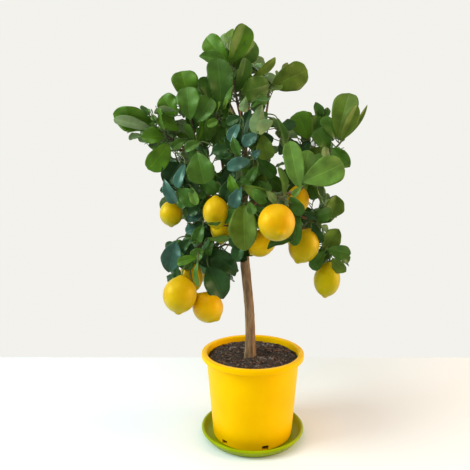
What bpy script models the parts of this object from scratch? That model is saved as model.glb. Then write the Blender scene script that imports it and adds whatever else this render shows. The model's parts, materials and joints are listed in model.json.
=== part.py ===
"""A lemon tree in a round pot that stands in a saucer, in metres with +Z up.

The origin is the middle of the saucer's flat underside. The trunk carries boughs, and each mass of
foliage grows from its bough's tip: a stem, side twigs, leaves in a spiral and the fruit on stalks,
joined into one solid that keeps to its own space between the other masses.
"""
import math
import random
from collections import namedtuple

import bmesh
import bpy
from mathutils import Matrix, Vector
from mathutils.bvhtree import BVHTree

# Clearance between pieces that touch
GAP = 0.0003

# Saucer, by radius and height
SAUCER_RADIUS = 0.111
SAUCER_HEIGHT = 0.019
SAUCER_FLOOR = 0.0028
SAUCER_RIM_ROUND = 0.0031
SAUCER_INSIDE = ((0.0, SAUCER_FLOOR), (0.0928, SAUCER_FLOOR), (0.1008, 0.0058))
SAUCER_FOOT = ((0.0995, 0.0012), (0.098, 0.0), (0.0, 0.0))

# Pot: a tapering wall under a rolled lip, with drain slots round its foot
POT_FLOOR_Z = SAUCER_FLOOR + GAP
POT_TOP_Z = 0.184
POT_FOOT_RADIUS = 0.085
POT_WALL_TOP_RADIUS = 0.1005
POT_LIP_RADIUS = 0.110
POT_LIP_HEIGHT = 0.0115
POT_LIP_ROUND = 0.003
POT_LIP_FILLET = 0.0012
POT_MOUTH_SLOPE = 0.0035
POT_FOOT_ROUND = 0.004
POT_WALL = 0.0028
POT_SLOTS = 6
POT_SLOT_TURN = math.radians(-74.0)
POT_SLOT_SIZE = (0.014, 0.012, 0.0042)
POT_SLOT_Z = POT_FLOOR_Z + 0.0045
TURNED_STEPS = 36

# Soil, with a level patch that the trunk stands on
SOIL_Z = 0.168
SOIL_TOP = ((0.0, SOIL_Z), (0.024, SOIL_Z), (0.045, SOIL_Z + 0.0035), (0.072, SOIL_Z + 0.0015))
SOIL_EDGE_DROP = 0.003
SOIL_ROUND = 0.006

# Trunk, from its flat cut on the soil to its fork
TRUNK_FOOT = Vector((-0.006, 0.0, SOIL_Z + GAP))
TRUNK_FORK = Vector((-0.021, 0.0, 0.521))
TRUNK_RADIUS = 0.0106
TRUNK_FORK_RADIUS = 0.0092
TRUNK_SWAY = 0.003
TRUNK_SWAY_TURNS = (2.2, 1.7)
TRUNK_BEND = 0.006
TRUNK_RINGS = 14
TRUNK_SIDES = 12
FLARE = 0.0058
FLARE_HEIGHT = 0.018
FLARE_LOBES = 5
FLARE_LOBE_DEPTH = 0.35

# Boughs: name, what it leaves, how far along that, its tip, radii at foot and tip, and its bend at the
# middle: upwards as a share of its length, and sideways in metres
BOUGHS = (
    ('bough_mid', 'trunk', 0.97, (-0.032, -0.010, 0.700), 0.0058, 0.0030, 0.00, 0.020),
    ('bough_left', 'trunk', 0.93, (-0.155, -0.030, 0.624), 0.0056, 0.0028, 0.10, 0.0),
    ('bough_right', 'trunk', 0.90, (0.148, -0.040, 0.604), 0.0052, 0.0026, 0.04, 0.0),
    ('bough_back', 'trunk', 0.95, (-0.020, 0.100, 0.600), 0.0050, 0.0026, 0.08, 0.0),
    ('bough_centre', 'trunk', 0.94, (-0.018, -0.060, 0.588), 0.0042, 0.0024, 0.10, 0.0),
    ('bough_mid_left', 'trunk', 0.85, (-0.128, -0.052, 0.534), 0.0046, 0.0022, 0.10, 0.0),
    ('bough_low_right', 'trunk', 0.82, (0.106, -0.052, 0.474), 0.0044, 0.0022, 0.16, 0.0),
    ('bough_front_right', 'trunk', 0.87, (0.078, -0.106, 0.530), 0.0044, 0.0024, 0.08, 0.0),
    ('bough_front', 'trunk', 0.80, (0.020, -0.118, 0.520), 0.0042, 0.0024, 0.12, 0.0),
    ('bough_front_left', 'trunk', 0.77, (-0.046, -0.070, 0.512), 0.0038, 0.0022, 0.10, 0.0),
    ('bough_low_left', 'trunk', 0.72, (-0.098, -0.058, 0.426), 0.0044, 0.0022, 0.16, 0.0),
    ('bough_low_inner', 'trunk', 0.655, (-0.054, -0.026, 0.418), 0.0036, 0.0020, 0.14, 0.0),
    ('bough_back_left', 'trunk', 0.89, (-0.130, 0.095, 0.560), 0.0046, 0.0024, 0.08, 0.0),
    ('bough_back_right', 'trunk', 0.86, (0.105, 0.100, 0.560), 0.0046, 0.0024, 0.08, 0.0),
    ('bough_low_back_left', 'trunk', 0.76, (-0.105, 0.085, 0.440), 0.0042, 0.0022, 0.16, 0.0),
    ('bough_low_back_right', 'trunk', 0.79, (0.090, 0.080, 0.474), 0.0042, 0.0022, 0.16, 0.0),
    ('bough_crest', 'bough_left', 0.24, (-0.069, -0.004, 0.655), 0.0040, 0.0024, 0.00, -0.008),
    ('bough_high_right', 'bough_mid', 0.30, (0.030, 0.022, 0.706), 0.0036, 0.0022, 0.00, 0.014),
    ('bough_high_back', 'bough_mid', 0.45, (-0.050, 0.060, 0.715), 0.0036, 0.0022, 0.00, 0.012),
    ('bough_top_right', 'bough_mid', 0.70, (-0.008, 0.002, 0.718), 0.0028, 0.0020, 0.00, 0.006),
    ('bough_upper_left', 'bough_left', 0.62, (-0.120, -0.028, 0.646), 0.0030, 0.0020, 0.00, -0.006),
    ('bough_left_down', 'bough_left', 0.84, (-0.160, -0.056, 0.606), 0.0024, 0.0018, 0.06, 0.0),
    ('bough_left_inner', 'bough_left', 0.40, (-0.083, -0.062, 0.570), 0.0030, 0.0020, 0.10, 0.0),
    ('bough_crest_left', 'bough_crest', 0.60, (-0.098, -0.030, 0.686), 0.0028, 0.0020, 0.04, 0.0),
    ('bough_high_centre', 'bough_mid', 0.50, (-0.024, -0.056, 0.670), 0.0028, 0.0020, 0.06, 0.0),
    ('bough_centre_right', 'bough_right', 0.22, (0.020, -0.052, 0.596), 0.0032, 0.0020, 0.04, 0.0),
    ('bough_right_inner', 'bough_right', 0.62, (0.104, 0.004, 0.616), 0.0030, 0.0020, 0.00, 0.006),
    ('bough_pendant', 'bough_low_right', 0.62, (0.138, -0.056, 0.434), 0.0030, 0.0020, 0.00, 0.0),
)
BOUGH_RINGS = 6
LIMB_SIDES = 6

# Leaves and twigs
LEAF_WIDTH = 0.58
LEAF_OUTLINE = ((-0.90, 0.38), (-0.88, 0.78), (0.0, 1.0), (0.88, 0.78), (0.90, 0.38))
LEAF_MIDDLE = 0.55
LEAF_THICKNESS = 0.024
LEAF_ROOT = 0.0013
LEAF_ROOT_HALF = 0.0009
LEAF_FOLD = 0.14
LEAF_DROOP = 0.14
TWIG_RADIUS = 0.0017
TWIG_TIP_RADIUS = 0.0012
STEM_RINGS = 3
STEM_SEAT = 0.004
STEM_LEAD = 0.45
STALK_RADIUS = 0.00136
STALK_BEND = 0.3
TWIG_SIDES = 4
SPIRAL = math.radians(137.5)
LEAF_TRIES = ((0.0, 1.0), (0.5, 1.0), (-0.5, 1.0), (1.0, 0.9), (-1.0, 0.9), (1.6, 0.75), (-1.6, 0.75))
REACH = 0.135
CLEARANCE = 0.001
LIGHT_RISE = 0.5
CROWN_MIDDLE = (-0.02, 0.04)
FRONT_BIAS = 0.35
FACING = 0.35
LEAF_ROLL = 30.0
SPREAD_FOOT = 76.0
SPREAD_CLOSING = 30.0
SMALLEST_LEAF = 0.82
LEAF_RANGE = 0.24
FIRST_LEAF = 0.2

# Side twigs: where they leave their stem, how long they are by the mass's leaves, and how they stand
TWIG_FOOT = 0.15
TWIG_STEP = 0.35
TWIG_LENGTH = 0.75
TWIG_RANGE = 0.2
TWIG_SPREAD = math.radians(60.0)
TWIG_RISE = 0.2
TWIG_TURNS = (0.5, 1.1, 1.7, 2.3)
TWIG_RINGS = 2
TWIG_LEAVES = 4
TWIG_FIRST_LEAF = 0.35
MASS_MIDDLE = 0.6

# Masses: each grows from its bough's tip to the end of its own stem, where its last leaf points along aim
Mass = namedtuple('Mass', 'name bough end aim leaves twigs last length turn fruit')
MASSES = tuple(Mass('foliage_' + name, 'bough_' + bough, *rest) for name, bough, *rest in (
    ('top', 'mid', (-0.047, -0.002, 0.796), (0.50, -0.15, 0.88), 11, 1, 0.076, 0.066, 200, ()),
    ('plume', 'crest', (-0.068, -0.012, 0.694), (-0.05, -0.10, 1.0), 7, 1, 0.098, 0.066, 20, ()),
    ('high_leaf', 'high_right', (0.034, 0.018, 0.744), (0.95, -0.05, 0.34), 4, 0, 0.086, 0.050, 320, ()),
    ('top_right', 'top_right', (0.002, -0.004, 0.757), (0.75, -0.3, 0.60), 7, 1, 0.064, 0.060, 150, ()),
    ('upper_left', 'upper_left', (-0.134, -0.038, 0.698), (-0.05, -0.2, 1.0), 10, 1, 0.062, 0.062, 100, ()),
    ('far_left', 'left', (-0.200, -0.040, 0.656), (-0.95, -0.1, 0.34), 9, 1, 0.078, 0.060, 200, ()),
    ('left_down', 'left_down', (-0.178, -0.066, 0.612), (-0.55, -0.2, -0.65), 5, 0, 0.064, 0.055, 60, ()),
    ('left_inner', 'left_inner', (-0.098, -0.080, 0.578), (-0.7, -0.2, 0.45), 7, 1, 0.060, 0.058, 60, ()),
    ('centre', 'centre', (-0.024, -0.098, 0.640), (0.0, -0.2, 1.0), 9, 1, 0.054, 0.052, 30, ()),
    ('centre_right', 'centre_right', (0.026, -0.052, 0.655), (0.5, -0.3, 0.2), 9, 1, 0.060, 0.055, 30, ()),
    ('crest_left', 'crest_left', (-0.102, -0.050, 0.700), (-0.1, -0.2, 1.0), 9, 1, 0.058, 0.060, 160, ()),
    ('high_centre', 'high_centre', (-0.022, -0.082, 0.698), (0.3, -0.3, 0.8), 7, 0, 0.050, 0.050, 200, ()),
    ('right_top', 'right', (0.176, -0.042, 0.632), (0.28, -0.1, 0.95), 8, 0, 0.088, 0.060, 130, ()),
    ('right_inner', 'right_inner', (0.101, 0.010, 0.650), (-0.15, -0.2, 1.0), 10, 1, 0.046, 0.048, 160, ()),
    ('front_right', 'front_right', (0.085, -0.122, 0.540), (0.80, -0.15, 0.53), 2, 0, 0.086, 0.090, 0, (6,)),
    ('low_right', 'low_right', (0.144, -0.062, 0.480), (0.3, -0.1, 0.9), 7, 0, 0.044, 0.050, 10, (8,)),
    ('pendant', 'pendant', (0.152, -0.058, 0.402), (0.9, -0.1, -0.15), 7, 0, 0.048, 0.045, 80, (9,)),
    ('front', 'front', (0.052, -0.130, 0.514), (0.12, 0.05, -1.0), 5, 0, 0.082, 0.052, 330, (4, 5)),
    ('front_left', 'front_left', (-0.018, -0.105, 0.503),
     (-0.06, -0.3, -0.95), 7, 0, 0.083, 0.054, 200, (2, 3)),
    ('mid_left', 'mid_left', (-0.156, -0.060, 0.530), (-0.3, -0.2, -0.8), 9, 1, 0.050, 0.055, 120, (1,)),
    ('low_left', 'low_left', (-0.128, -0.074, 0.400),
     (-0.3, -0.2, -0.9), 10, 0, 0.055, 0.055, 90, (10, 11, 12)),
    ('low_inner', 'low_inner', (-0.070, -0.040, 0.392), (0.1, -0.2, -0.9), 8, 0, 0.070, 0.062, 20, ()),
    ('back', 'back', (-0.018, 0.148, 0.662), (0.1, 0.4, 0.9), 8, 1, 0.068, 0.066, 40, ()),
    ('high_back', 'high_back', (-0.052, 0.108, 0.758), (-0.1, 0.3, 0.9), 8, 1, 0.068, 0.066, 80, ()),
    ('back_left', 'back_left', (-0.175, 0.115, 0.600), (-0.6, 0.4, 0.6), 8, 1, 0.070, 0.066, 10, ()),
    ('back_right', 'back_right', (0.145, 0.120, 0.605), (0.6, 0.4, 0.6), 8, 1, 0.066, 0.062, 60, ()),
    ('low_back_left', 'low_back_left', (-0.135, 0.100, 0.405),
     (-0.5, 0.4, -0.6), 8, 1, 0.064, 0.062, 100, (13,)),
    ('low_back_right', 'low_back_right', (0.120, 0.095, 0.452),
     (0.5, 0.4, -0.4), 8, 1, 0.060, 0.058, 140, (14,)),
))

# Fruit: middle, direction from stalk to tip, width and length
FRUIT = {
    1: ((-0.163, -0.060, 0.484), (0.0, 0.0, -1.0), 0.045, 0.054),
    2: ((-0.073, -0.108, 0.489), (0.05, -0.1, -1.0), 0.049, 0.064),
    3: ((-0.063, -0.066, 0.458), (-0.05, 0.0, -1.0), 0.046, 0.068),
    4: ((0.034, -0.170, 0.476), (0.15, -0.85, -0.45), 0.064, 0.074),
    5: ((0.014, -0.085, 0.430), (-0.7, 0.0, -0.7), 0.050, 0.066),
    6: ((0.083, -0.075, 0.512), (0.05, 0.1, -1.0), 0.043, 0.056),
    8: ((0.093, -0.075, 0.424), (-0.38, -0.1, -0.9), 0.0566, 0.072),
    9: ((0.145, -0.060, 0.352), (-0.12, -0.1, -1.0), 0.052, 0.073),
    10: ((-0.141, -0.120, 0.336), (-0.05, -0.35, -0.9), 0.063, 0.074),
    11: ((-0.126, -0.058, 0.356), (-0.05, 0.1, -1.0), 0.048, 0.068),
    12: ((-0.090, -0.100, 0.307), (0.55, -0.15, -0.62), 0.058, 0.066),
    13: ((-0.118, 0.110, 0.345), (0.1, 0.2, -1.0), 0.056, 0.070),
    14: ((0.100, 0.110, 0.405), (-0.1, 0.2, -1.0), 0.054, 0.068),
}
FRUIT_SIDES = 8
FRUIT_RINGS = 7
FRUIT_SHOULDER = 0.6
FRUIT_PINCH = 0.16
FRUIT_POINT = 1.1
FRUIT_NECK = 0.42


def material(name, colour, roughness):
    """A plain Principled material."""
    made = bpy.data.materials.new(name)
    made.use_nodes = True
    shader = made.node_tree.nodes['Principled BSDF']
    shader.inputs['Base Color'].default_value = (*colour, 1.0)
    shader.inputs['Roughness'].default_value = roughness
    shader.inputs['Metallic'].default_value = 0.0
    return made


def place(name, mesh, finish):
    """Links a mesh to the tree's collection as one named piece."""
    made = bpy.data.objects.new(name, mesh)
    mesh.name = name
    mesh.materials.clear()
    mesh.materials.append(finish)
    tree.objects.link(made)
    return made


def turned(name, profile, finish):
    """A closed body from a profile of (radius, height) that runs down its outer side and back up inside."""
    mesh = bpy.data.meshes.new(name)
    shape = bmesh.new()
    corners = [shape.verts.new((radius, 0.0, height)) for radius, height in profile]
    for upper, lower in zip(corners, corners[1:]):
        shape.edges.new((upper, lower))
    if profile[0][0] > 0.0:
        shape.edges.new((corners[-1], corners[0]))
    shape.to_mesh(mesh)
    shape.free()
    made = place(name, mesh, finish)
    screw = made.modifiers.new('turn', 'SCREW')
    screw.steps = TURNED_STEPS
    screw.render_steps = TURNED_STEPS
    screw.use_merge_vertices = True
    screw.merge_threshold = 0.00001
    screw.use_smooth_shade = True
    return made


def arc(middle, radius, first, last, steps):
    """Points (radius, height) along a round edge, with its angles in degrees."""
    angles = [math.radians(first + (last - first) * step / steps) for step in range(steps + 1)]
    return [(middle[0] + radius * math.cos(angle), middle[1] + radius * math.sin(angle)) for angle in angles]


def make_saucer():
    """A shallow dish with a thick rolled rim and a level floor."""
    rim = SAUCER_RIM_ROUND
    edge = arc((SAUCER_RADIUS - rim, SAUCER_HEIGHT - rim), rim, 150.0, -60.0, 6)
    profile = [*SAUCER_INSIDE, *edge, *SAUCER_FOOT]
    turned('saucer', profile, material('saucer_green', (0.30, 0.37, 0.012), 0.35))


def wall_radius(height):
    """The pot's outer radius at a height under its lip."""
    share = (height - POT_FLOOR_Z) / (POT_TOP_Z - POT_FLOOR_Z)
    return POT_FOOT_RADIUS + (POT_WALL_TOP_RADIUS - POT_FOOT_RADIUS) * share


def pot_profile():
    """The pot's section: its mouth and lip, down its wall, round its foot and back up inside."""
    under_lip = POT_TOP_Z - POT_LIP_HEIGHT
    floor = POT_FLOOR_Z + POT_WALL
    inside = POT_FOOT_RADIUS - POT_WALL
    lip = POT_LIP_ROUND
    mouth = wall_radius(POT_TOP_Z)
    neck = wall_radius(under_lip)
    foot = POT_FOOT_ROUND
    profile = [(mouth - POT_WALL, POT_TOP_Z - POT_MOUTH_SLOPE), (mouth, POT_TOP_Z)]
    profile += arc((POT_LIP_RADIUS - lip, POT_TOP_Z - lip), lip, 90.0, 0.0, 3)
    profile += arc((POT_LIP_RADIUS - lip, under_lip + lip), lip, 0.0, -90.0, 2)
    profile += [(neck + POT_LIP_FILLET, under_lip), (neck, under_lip - POT_LIP_FILLET)]
    profile += arc((POT_FOOT_RADIUS - foot, POT_FLOOR_Z + foot), foot, 0.0, -90.0, 3)
    profile += [(0.0, POT_FLOOR_Z), (0.0, floor), (inside - POT_WALL, floor), (inside, floor + POT_WALL)]
    return profile


def add_slot_cutter(angle):
    """A box that cuts one drain slot through the foot of the pot's wall."""
    bpy.ops.mesh.primitive_cube_add(size=1.0)
    cutter = bpy.context.object
    cutter.name = 'slot_cutter'
    cutter.scale = POT_SLOT_SIZE
    out = wall_radius(POT_SLOT_Z)
    cutter.location = (out * math.cos(angle), out * math.sin(angle), POT_SLOT_Z)
    cutter.rotation_euler = (0.0, 0.0, angle + math.pi / 2.0)
    cutter.display_type = 'WIRE'
    cutter.hide_render = True
    for home in cutter.users_collection:
        home.objects.unlink(cutter)
    cutters.objects.link(cutter)


def make_pot():
    """The pot: a tapering wall and floor with a rolled lip, cut by the drain slots."""
    pot = turned('pot', pot_profile(), material('pot_yellow', (0.93, 0.66, 0.0), 0.38))
    for index in range(POT_SLOTS):
        add_slot_cutter(POT_SLOT_TURN + index * 2.0 * math.pi / POT_SLOTS)
    cut = pot.modifiers.new('drain_slots', 'BOOLEAN')
    cut.operation = 'DIFFERENCE'
    cut.operand_type = 'COLLECTION'
    cut.collection = cutters


def make_soil():
    """The soil fills the pot, level round the trunk and gently mounded towards the wall."""
    low = POT_FLOOR_Z + POT_WALL + GAP
    skin = POT_WALL + 2.0 * GAP
    edge = wall_radius(SOIL_Z) - skin
    foot = POT_FOOT_RADIUS - skin
    profile = [*SOIL_TOP, (edge - SOIL_ROUND, SOIL_Z), (edge, SOIL_Z - SOIL_EDGE_DROP)]
    profile += [(foot, low + SOIL_ROUND), (foot - SOIL_ROUND, low), (0.0, low)]
    turned('soil', profile, material('soil_brown', (0.035, 0.022, 0.015), 0.95))


def tube_mesh(path, radii, sides):
    """A closed round tube through the points of path, with one radius a point."""
    curve = bpy.data.curves.new('limb', 'CURVE')
    curve.dimensions = '3D'
    curve.bevel_depth = 1.0
    curve.bevel_resolution = (sides - 4) // 2
    curve.use_fill_caps = True
    spline = curve.splines.new('POLY')
    spline.points.add(len(path) - 1)
    for point, spot, radius in zip(spline.points, path, radii):
        point.co = (*spot, 1.0)
        point.radius = radius
    guide = bpy.data.objects.new('limb', curve)
    bpy.context.scene.collection.objects.link(guide)
    mesh = bpy.data.meshes.new_from_object(guide.evaluated_get(bpy.context.evaluated_depsgraph_get()))
    bpy.data.objects.remove(guide)
    bpy.data.curves.remove(curve)
    shape = bmesh.new()
    shape.from_mesh(mesh)
    bmesh.ops.remove_doubles(shape, verts=shape.verts, dist=0.000001)
    bmesh.ops.recalc_face_normals(shape, faces=shape.faces)
    shape.to_mesh(mesh)
    shape.free()
    mesh.materials.clear()
    return mesh


def blend_path(start, middle, end, steps):
    """Points on the curve that leaves start towards middle and arrives at end from it."""
    shares = [step / steps for step in range(steps + 1)]
    return [start * (1 - s) ** 2 + middle * 2 * s * (1 - s) + end * s * s for s in shares]


def taper(first, last, steps):
    """Radii that shrink evenly along a limb."""
    return [first + (last - first) * step / steps for step in range(steps + 1)]


def along(path, share):
    """The point at a share of a path's steps, and the path's direction there."""
    spot = min(share * (len(path) - 1), len(path) - 1.001)
    index = int(spot)
    step = path[index + 1] - path[index]
    return path[index] + step * (spot - index), step.normalized()


def trunk_path():
    """The trunk's centre line: it leans to its fork with a slight sway."""
    path = []
    for ring in range(TRUNK_RINGS + 1):
        share = ring / TRUNK_RINGS
        spot = TRUNK_FOOT.lerp(TRUNK_FORK, share)
        spot.x += TRUNK_SWAY * math.sin(share * math.pi * TRUNK_SWAY_TURNS[0])
        spot.x += TRUNK_BEND * share * (1.0 - share)
        spot.y += TRUNK_SWAY * 0.5 * math.sin(share * math.pi * TRUNK_SWAY_TURNS[1])
        path.append(spot)
    lift = TRUNK_FORK - path[-1]
    return [spot + lift * (index / TRUNK_RINGS) for index, spot in enumerate(path)]


def make_trunk(path):
    """The trunk, with a lobed root flare at its flat cut."""
    mesh = tube_mesh(path, taper(TRUNK_RADIUS, TRUNK_FORK_RADIUS, TRUNK_RINGS), TRUNK_SIDES)
    for vert in mesh.vertices:
        height = vert.co.z - TRUNK_FOOT.z
        if height < 0.002:
            vert.co.z = TRUNK_FOOT.z
        centre, _ = along(path, max(0.0, min(1.0, height / (TRUNK_FORK.z - TRUNK_FOOT.z))))
        out = Vector((vert.co.x - centre.x, vert.co.y - centre.y, 0.0))
        if out.length < 0.001:
            continue
        lobes = 1.0 + FLARE_LOBE_DEPTH * math.cos(FLARE_LOBES * math.atan2(out.y, out.x))
        vert.co += out.normalized() * FLARE * lobes * math.exp(-max(0.0, height) / FLARE_HEIGHT)
    place('trunk', mesh, material('bark', (0.20, 0.125, 0.07), 0.8))


def limb_paths():
    """Each limb's centre line and radii, by name: the trunk first, then the boughs in their order."""
    limbs = {'trunk': (trunk_path(), taper(TRUNK_RADIUS, TRUNK_FORK_RADIUS, TRUNK_RINGS))}
    for name, parent, share, tip, foot_radius, tip_radius, arch, bow in BOUGHS:
        start, _ = along(limbs[parent][0], share)
        tip = Vector(tip)
        middle = (start + tip) / 2.0 + Vector((bow, 0.0, arch * (tip - start).length))
        radii = taper(foot_radius, tip_radius, BOUGH_RINGS)
        limbs[name] = (blend_path(start, middle, tip, BOUGH_RINGS), radii)
    return limbs


def make_boughs(limbs):
    """Every bough, with its foot cut clear of the limb that it leaves."""
    bark = material('bough_bark', (0.17, 0.12, 0.07), 0.8)
    for name, parent, *_ in BOUGHS:
        path, radii = limbs[name]
        bough = place(name, tube_mesh(path, radii, LIMB_SIDES), bark)
        parent_path, parent_radii = limbs[parent]
        grown = [radius + GAP for radius in parent_radii]
        end = parent_path[-1] + (parent_path[-1] - parent_path[-2]).normalized() * GAP
        sides = TRUNK_SIDES if parent == 'trunk' else LIMB_SIDES
        cutter = bpy.data.objects.new('cope', tube_mesh(parent_path[:-1] + [end], grown, sides))
        cutter.display_type = 'WIRE'
        cutter.hide_render = True
        copes.objects.link(cutter)
        cut = bough.modifiers.new('cope', 'BOOLEAN')
        cut.operation = 'DIFFERENCE'
        cut.object = cutter


def lemon_shape(name, extra=0.0):
    """A lemon: a ball drawn out to a short neck at its stalk and a blunt point at its tip."""
    middle, aim, width, length = FRUIT[name]
    shape = bmesh.new()
    bmesh.ops.create_uvsphere(shape, u_segments=FRUIT_SIDES, v_segments=FRUIT_RINGS, radius=1.0)
    for vert in shape.verts:
        height = vert.co.z
        slope = max(0.0, abs(height) - FRUIT_SHOULDER) / (1.0 - FRUIT_SHOULDER)
        pinch = (1.0 - FRUIT_PINCH * slope) * (width / 2.0 + extra)
        stretch = 1.0 if abs(height) < 0.99 else FRUIT_POINT
        tall = stretch * length / (2.0 * FRUIT_POINT) + extra
        vert.co = (vert.co.x * pinch, vert.co.y * pinch, height * tall)
    turn = Vector(aim).normalized().to_track_quat('Z', 'Y').to_matrix().to_4x4()
    bmesh.ops.transform(shape, matrix=Matrix.Translation(middle) @ turn, verts=shape.verts)
    return shape


def leaf_shape(length, frame):
    """A leaf blade, folded along its midrib and arched, with its root at the frame's origin."""
    half = LEAF_WIDTH * length / 2.0
    thick = LEAF_THICKNESS * length / 2.0
    shape = bmesh.new()
    rim = []
    for across, share in LEAF_OUTLINE:
        lift = LEAF_FOLD * abs(across) * half - LEAF_DROOP * length * share * share
        rim.append(shape.verts.new((across * half, share * length, lift)))
    roots = [shape.verts.new((0.0, -LEAF_ROOT, side * LEAF_ROOT_HALF)) for side in (1.0, -1.0)]
    sag = -LEAF_DROOP * length * LEAF_MIDDLE ** 2
    for side, root in zip((1.0, -1.0), roots):
        rib = shape.verts.new((0.0, LEAF_MIDDLE * length, sag + side * thick))
        for first, second in zip([root] + rim, rim + [root]):
            shape.faces.new((first, second, rib))
    shape.faces.new((roots[0], roots[1], rim[0]))
    shape.faces.new((roots[0], roots[1], rim[-1]))
    bmesh.ops.recalc_face_normals(shape, faces=shape.faces)
    bmesh.ops.transform(shape, matrix=frame, verts=shape.verts)
    return shape


def leaf_frame(root, aim, roll):
    """The leaf's frame: its length lies along aim and its upper face turns to the light and outwards."""
    aim = aim.normalized()
    back = root.y > CROWN_MIDDLE[1]
    sideways = (root.x - CROWN_MIDDLE[0]) * (1.0 if back else FRONT_BIAS)
    face = Vector((sideways, root.y - CROWN_MIDDLE[1], 0.0)).normalized() + Vector((0.0, 0.0, LIGHT_RISE))
    face = face - aim * face.dot(aim)
    face = Matrix.Rotation(roll, 3, aim) @ face.normalized()
    across = aim.cross(face)
    return Matrix.Translation(root) @ Matrix((across, aim, face)).transposed().to_4x4()


def spread_from(direction, turn, angle):
    """A direction that stands off another by angle, turned round it."""
    side = direction.cross(Vector((0.0, 1.0, 0.1))).normalized()
    side = Matrix.Rotation(turn, 3, direction) @ side
    return (direction * math.cos(angle) + side * math.sin(angle)).normalized()


def stem_of(mass, limbs):
    """A mass's stem: it goes on from its bough's tip, just clear of it, and bends to its own end."""
    bough_path, bough_radii = limbs[mass.bough]
    _, direction = along(bough_path, 1.0)
    start = bough_path[-1] + direction * GAP
    seat = start + direction * STEM_SEAT
    end = Vector(mass.end)
    middle = seat + direction * (end - seat).length * STEM_LEAD
    path = [start] + blend_path(seat, middle, end, STEM_RINGS)
    return path, [bough_radii[-1]] + taper(bough_radii[-1], TWIG_TIP_RADIUS, STEM_RINGS)


def faces_of(mesh):
    """A search tree over a mesh's faces, in place of the mesh."""
    shape = as_shape(mesh)
    faces = BVHTree.FromBMesh(shape)
    shape.free()
    return faces


def fatter(radii):
    """The radii of a limb's guard."""
    return [radius + CLEARANCE for radius in radii]


class Crown:
    """The masses as they grow: what each one holds, and what nothing else may touch."""

    def __init__(self, limbs):
        self.stems = {mass.name: stem_of(mass, limbs) for mass in MASSES}
        self.twigs = {mass.name: [] for mass in MASSES}
        self.leaves = {mass.name: [] for mass in MASSES}
        self.middles = {}
        self.held = []
        for path, radii in limbs.values():
            self.held.append((None, faces_of(tube_mesh(path, fatter(radii), LIMB_SIDES))))
        for mass in MASSES:
            path, radii = self.stems[mass.name]
            self.middles[mass.name] = limbs[mass.bough][0][-1].lerp(Vector(mass.end), MASS_MIDDLE)
            self.held.append((mass.name, faces_of(tube_mesh(path, fatter(radii), TWIG_SIDES))))
            for lemon in mass.fruit:
                stalk = tube_mesh(*stalk_of(lemon, path, CLEARANCE), TWIG_SIDES)
                self.held.append((None, BVHTree.FromBMesh(lemon_shape(lemon, CLEARANCE))))
                self.held.append((mass.name, faces_of(stalk)))

    def is_clear(self, owner, shape):
        """Whether a shape touches nothing that is held, apart from its own mass's twigs."""
        faces = BVHTree.FromBMesh(shape)
        return not any(owner != holder and held.overlap(faces) for holder, held in self.held)

    def in_reach(self, owner, shape):
        """Whether a shape stays within its mass's reach."""
        return all((vert.co - self.middles[owner]).length < REACH for vert in shape.verts)

    def try_leaf(self, owner, root, aim, roll, length):
        """Adds a leaf where it keeps to its mass's space, tried at a few turns, or skips it."""
        for turn, size in LEAF_TRIES:
            frame = leaf_frame(root, Matrix.Rotation(turn, 3, 'Z') @ aim, roll)
            shape = leaf_shape(length * size, frame)
            if self.in_reach(owner, shape) and self.is_clear(owner, shape):
                self.held.append((None, BVHTree.FromBMesh(shape)))
                self.leaves[owner].append((frame, length * size))
                shape.free()
                return
            shape.free()

    def try_twig(self, owner, path, radii):
        """Adds a side twig where it keeps to its mass's space, and says whether it did."""
        shape = as_shape(tube_mesh(path, fatter(radii), TWIG_SIDES))
        fits = self.in_reach(owner, shape) and self.is_clear(owner, shape)
        if fits:
            self.held.append((owner, BVHTree.FromBMesh(shape)))
            self.twigs[owner].append((path, radii))
        shape.free()
        return fits

    def add_spiral(self, mass, path, count, first, turn, rng):
        """Leaves in a spiral along a twig, wide near its foot and closer to its line near its end."""
        for index in range(count):
            share = first + (1.0 - first) * index / count
            root, direction = along(path, share)
            angle = math.radians(SPREAD_FOOT - SPREAD_CLOSING * share)
            aim = spread_from(direction, turn + index * SPIRAL, angle)
            aim.y *= 1.0 - FACING
            size = mass.length * (SMALLEST_LEAF + LEAF_RANGE * rng.random())
            self.try_leaf(mass.name, root, aim, math.radians(rng.uniform(-LEAF_ROLL, LEAF_ROLL)), size)

    def add_twigs(self, mass, rng):
        """The side twigs of a mass, each with a last leaf and a few more."""
        path, _ = self.stems[mass.name]
        turn = math.radians(mass.turn)
        for index in range(mass.twigs):
            root, direction = along(path, TWIG_FOOT + TWIG_STEP * index)
            reach = mass.length * (TWIG_LENGTH + TWIG_RANGE * rng.random())
            for attempt in TWIG_TURNS:
                out = spread_from(direction, turn + attempt * math.pi, TWIG_SPREAD)
                tip = root + out * reach + Vector((0.0, 0.0, TWIG_RISE * reach))
                side = blend_path(root, root + out * reach * 0.5, tip, TWIG_RINGS)
                if self.try_twig(mass.name, side, taper(TWIG_RADIUS, TWIG_TIP_RADIUS, TWIG_RINGS)):
                    self.try_leaf(mass.name, tip, tip - side[1], 0.0, mass.length)
                    self.add_spiral(mass, side, TWIG_LEAVES, TWIG_FIRST_LEAF, turn + index, rng)
                    break


def grow_crown(limbs):
    """All the masses: each one's last leaf, then the leaves on its stem, then its side twigs."""
    crown = Crown(limbs)
    for mass in MASSES:
        crown.try_leaf(mass.name, Vector(mass.end), Vector(mass.aim).normalized(), 0.0, mass.last)
    for mass in MASSES:
        rng = random.Random(mass.name)
        path, _ = crown.stems[mass.name]
        crown.add_spiral(mass, path, mass.leaves, FIRST_LEAF, math.radians(mass.turn), rng)
    for mass in MASSES:
        crown.add_twigs(mass, random.Random(mass.name + '_twigs'))
    return crown


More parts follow.
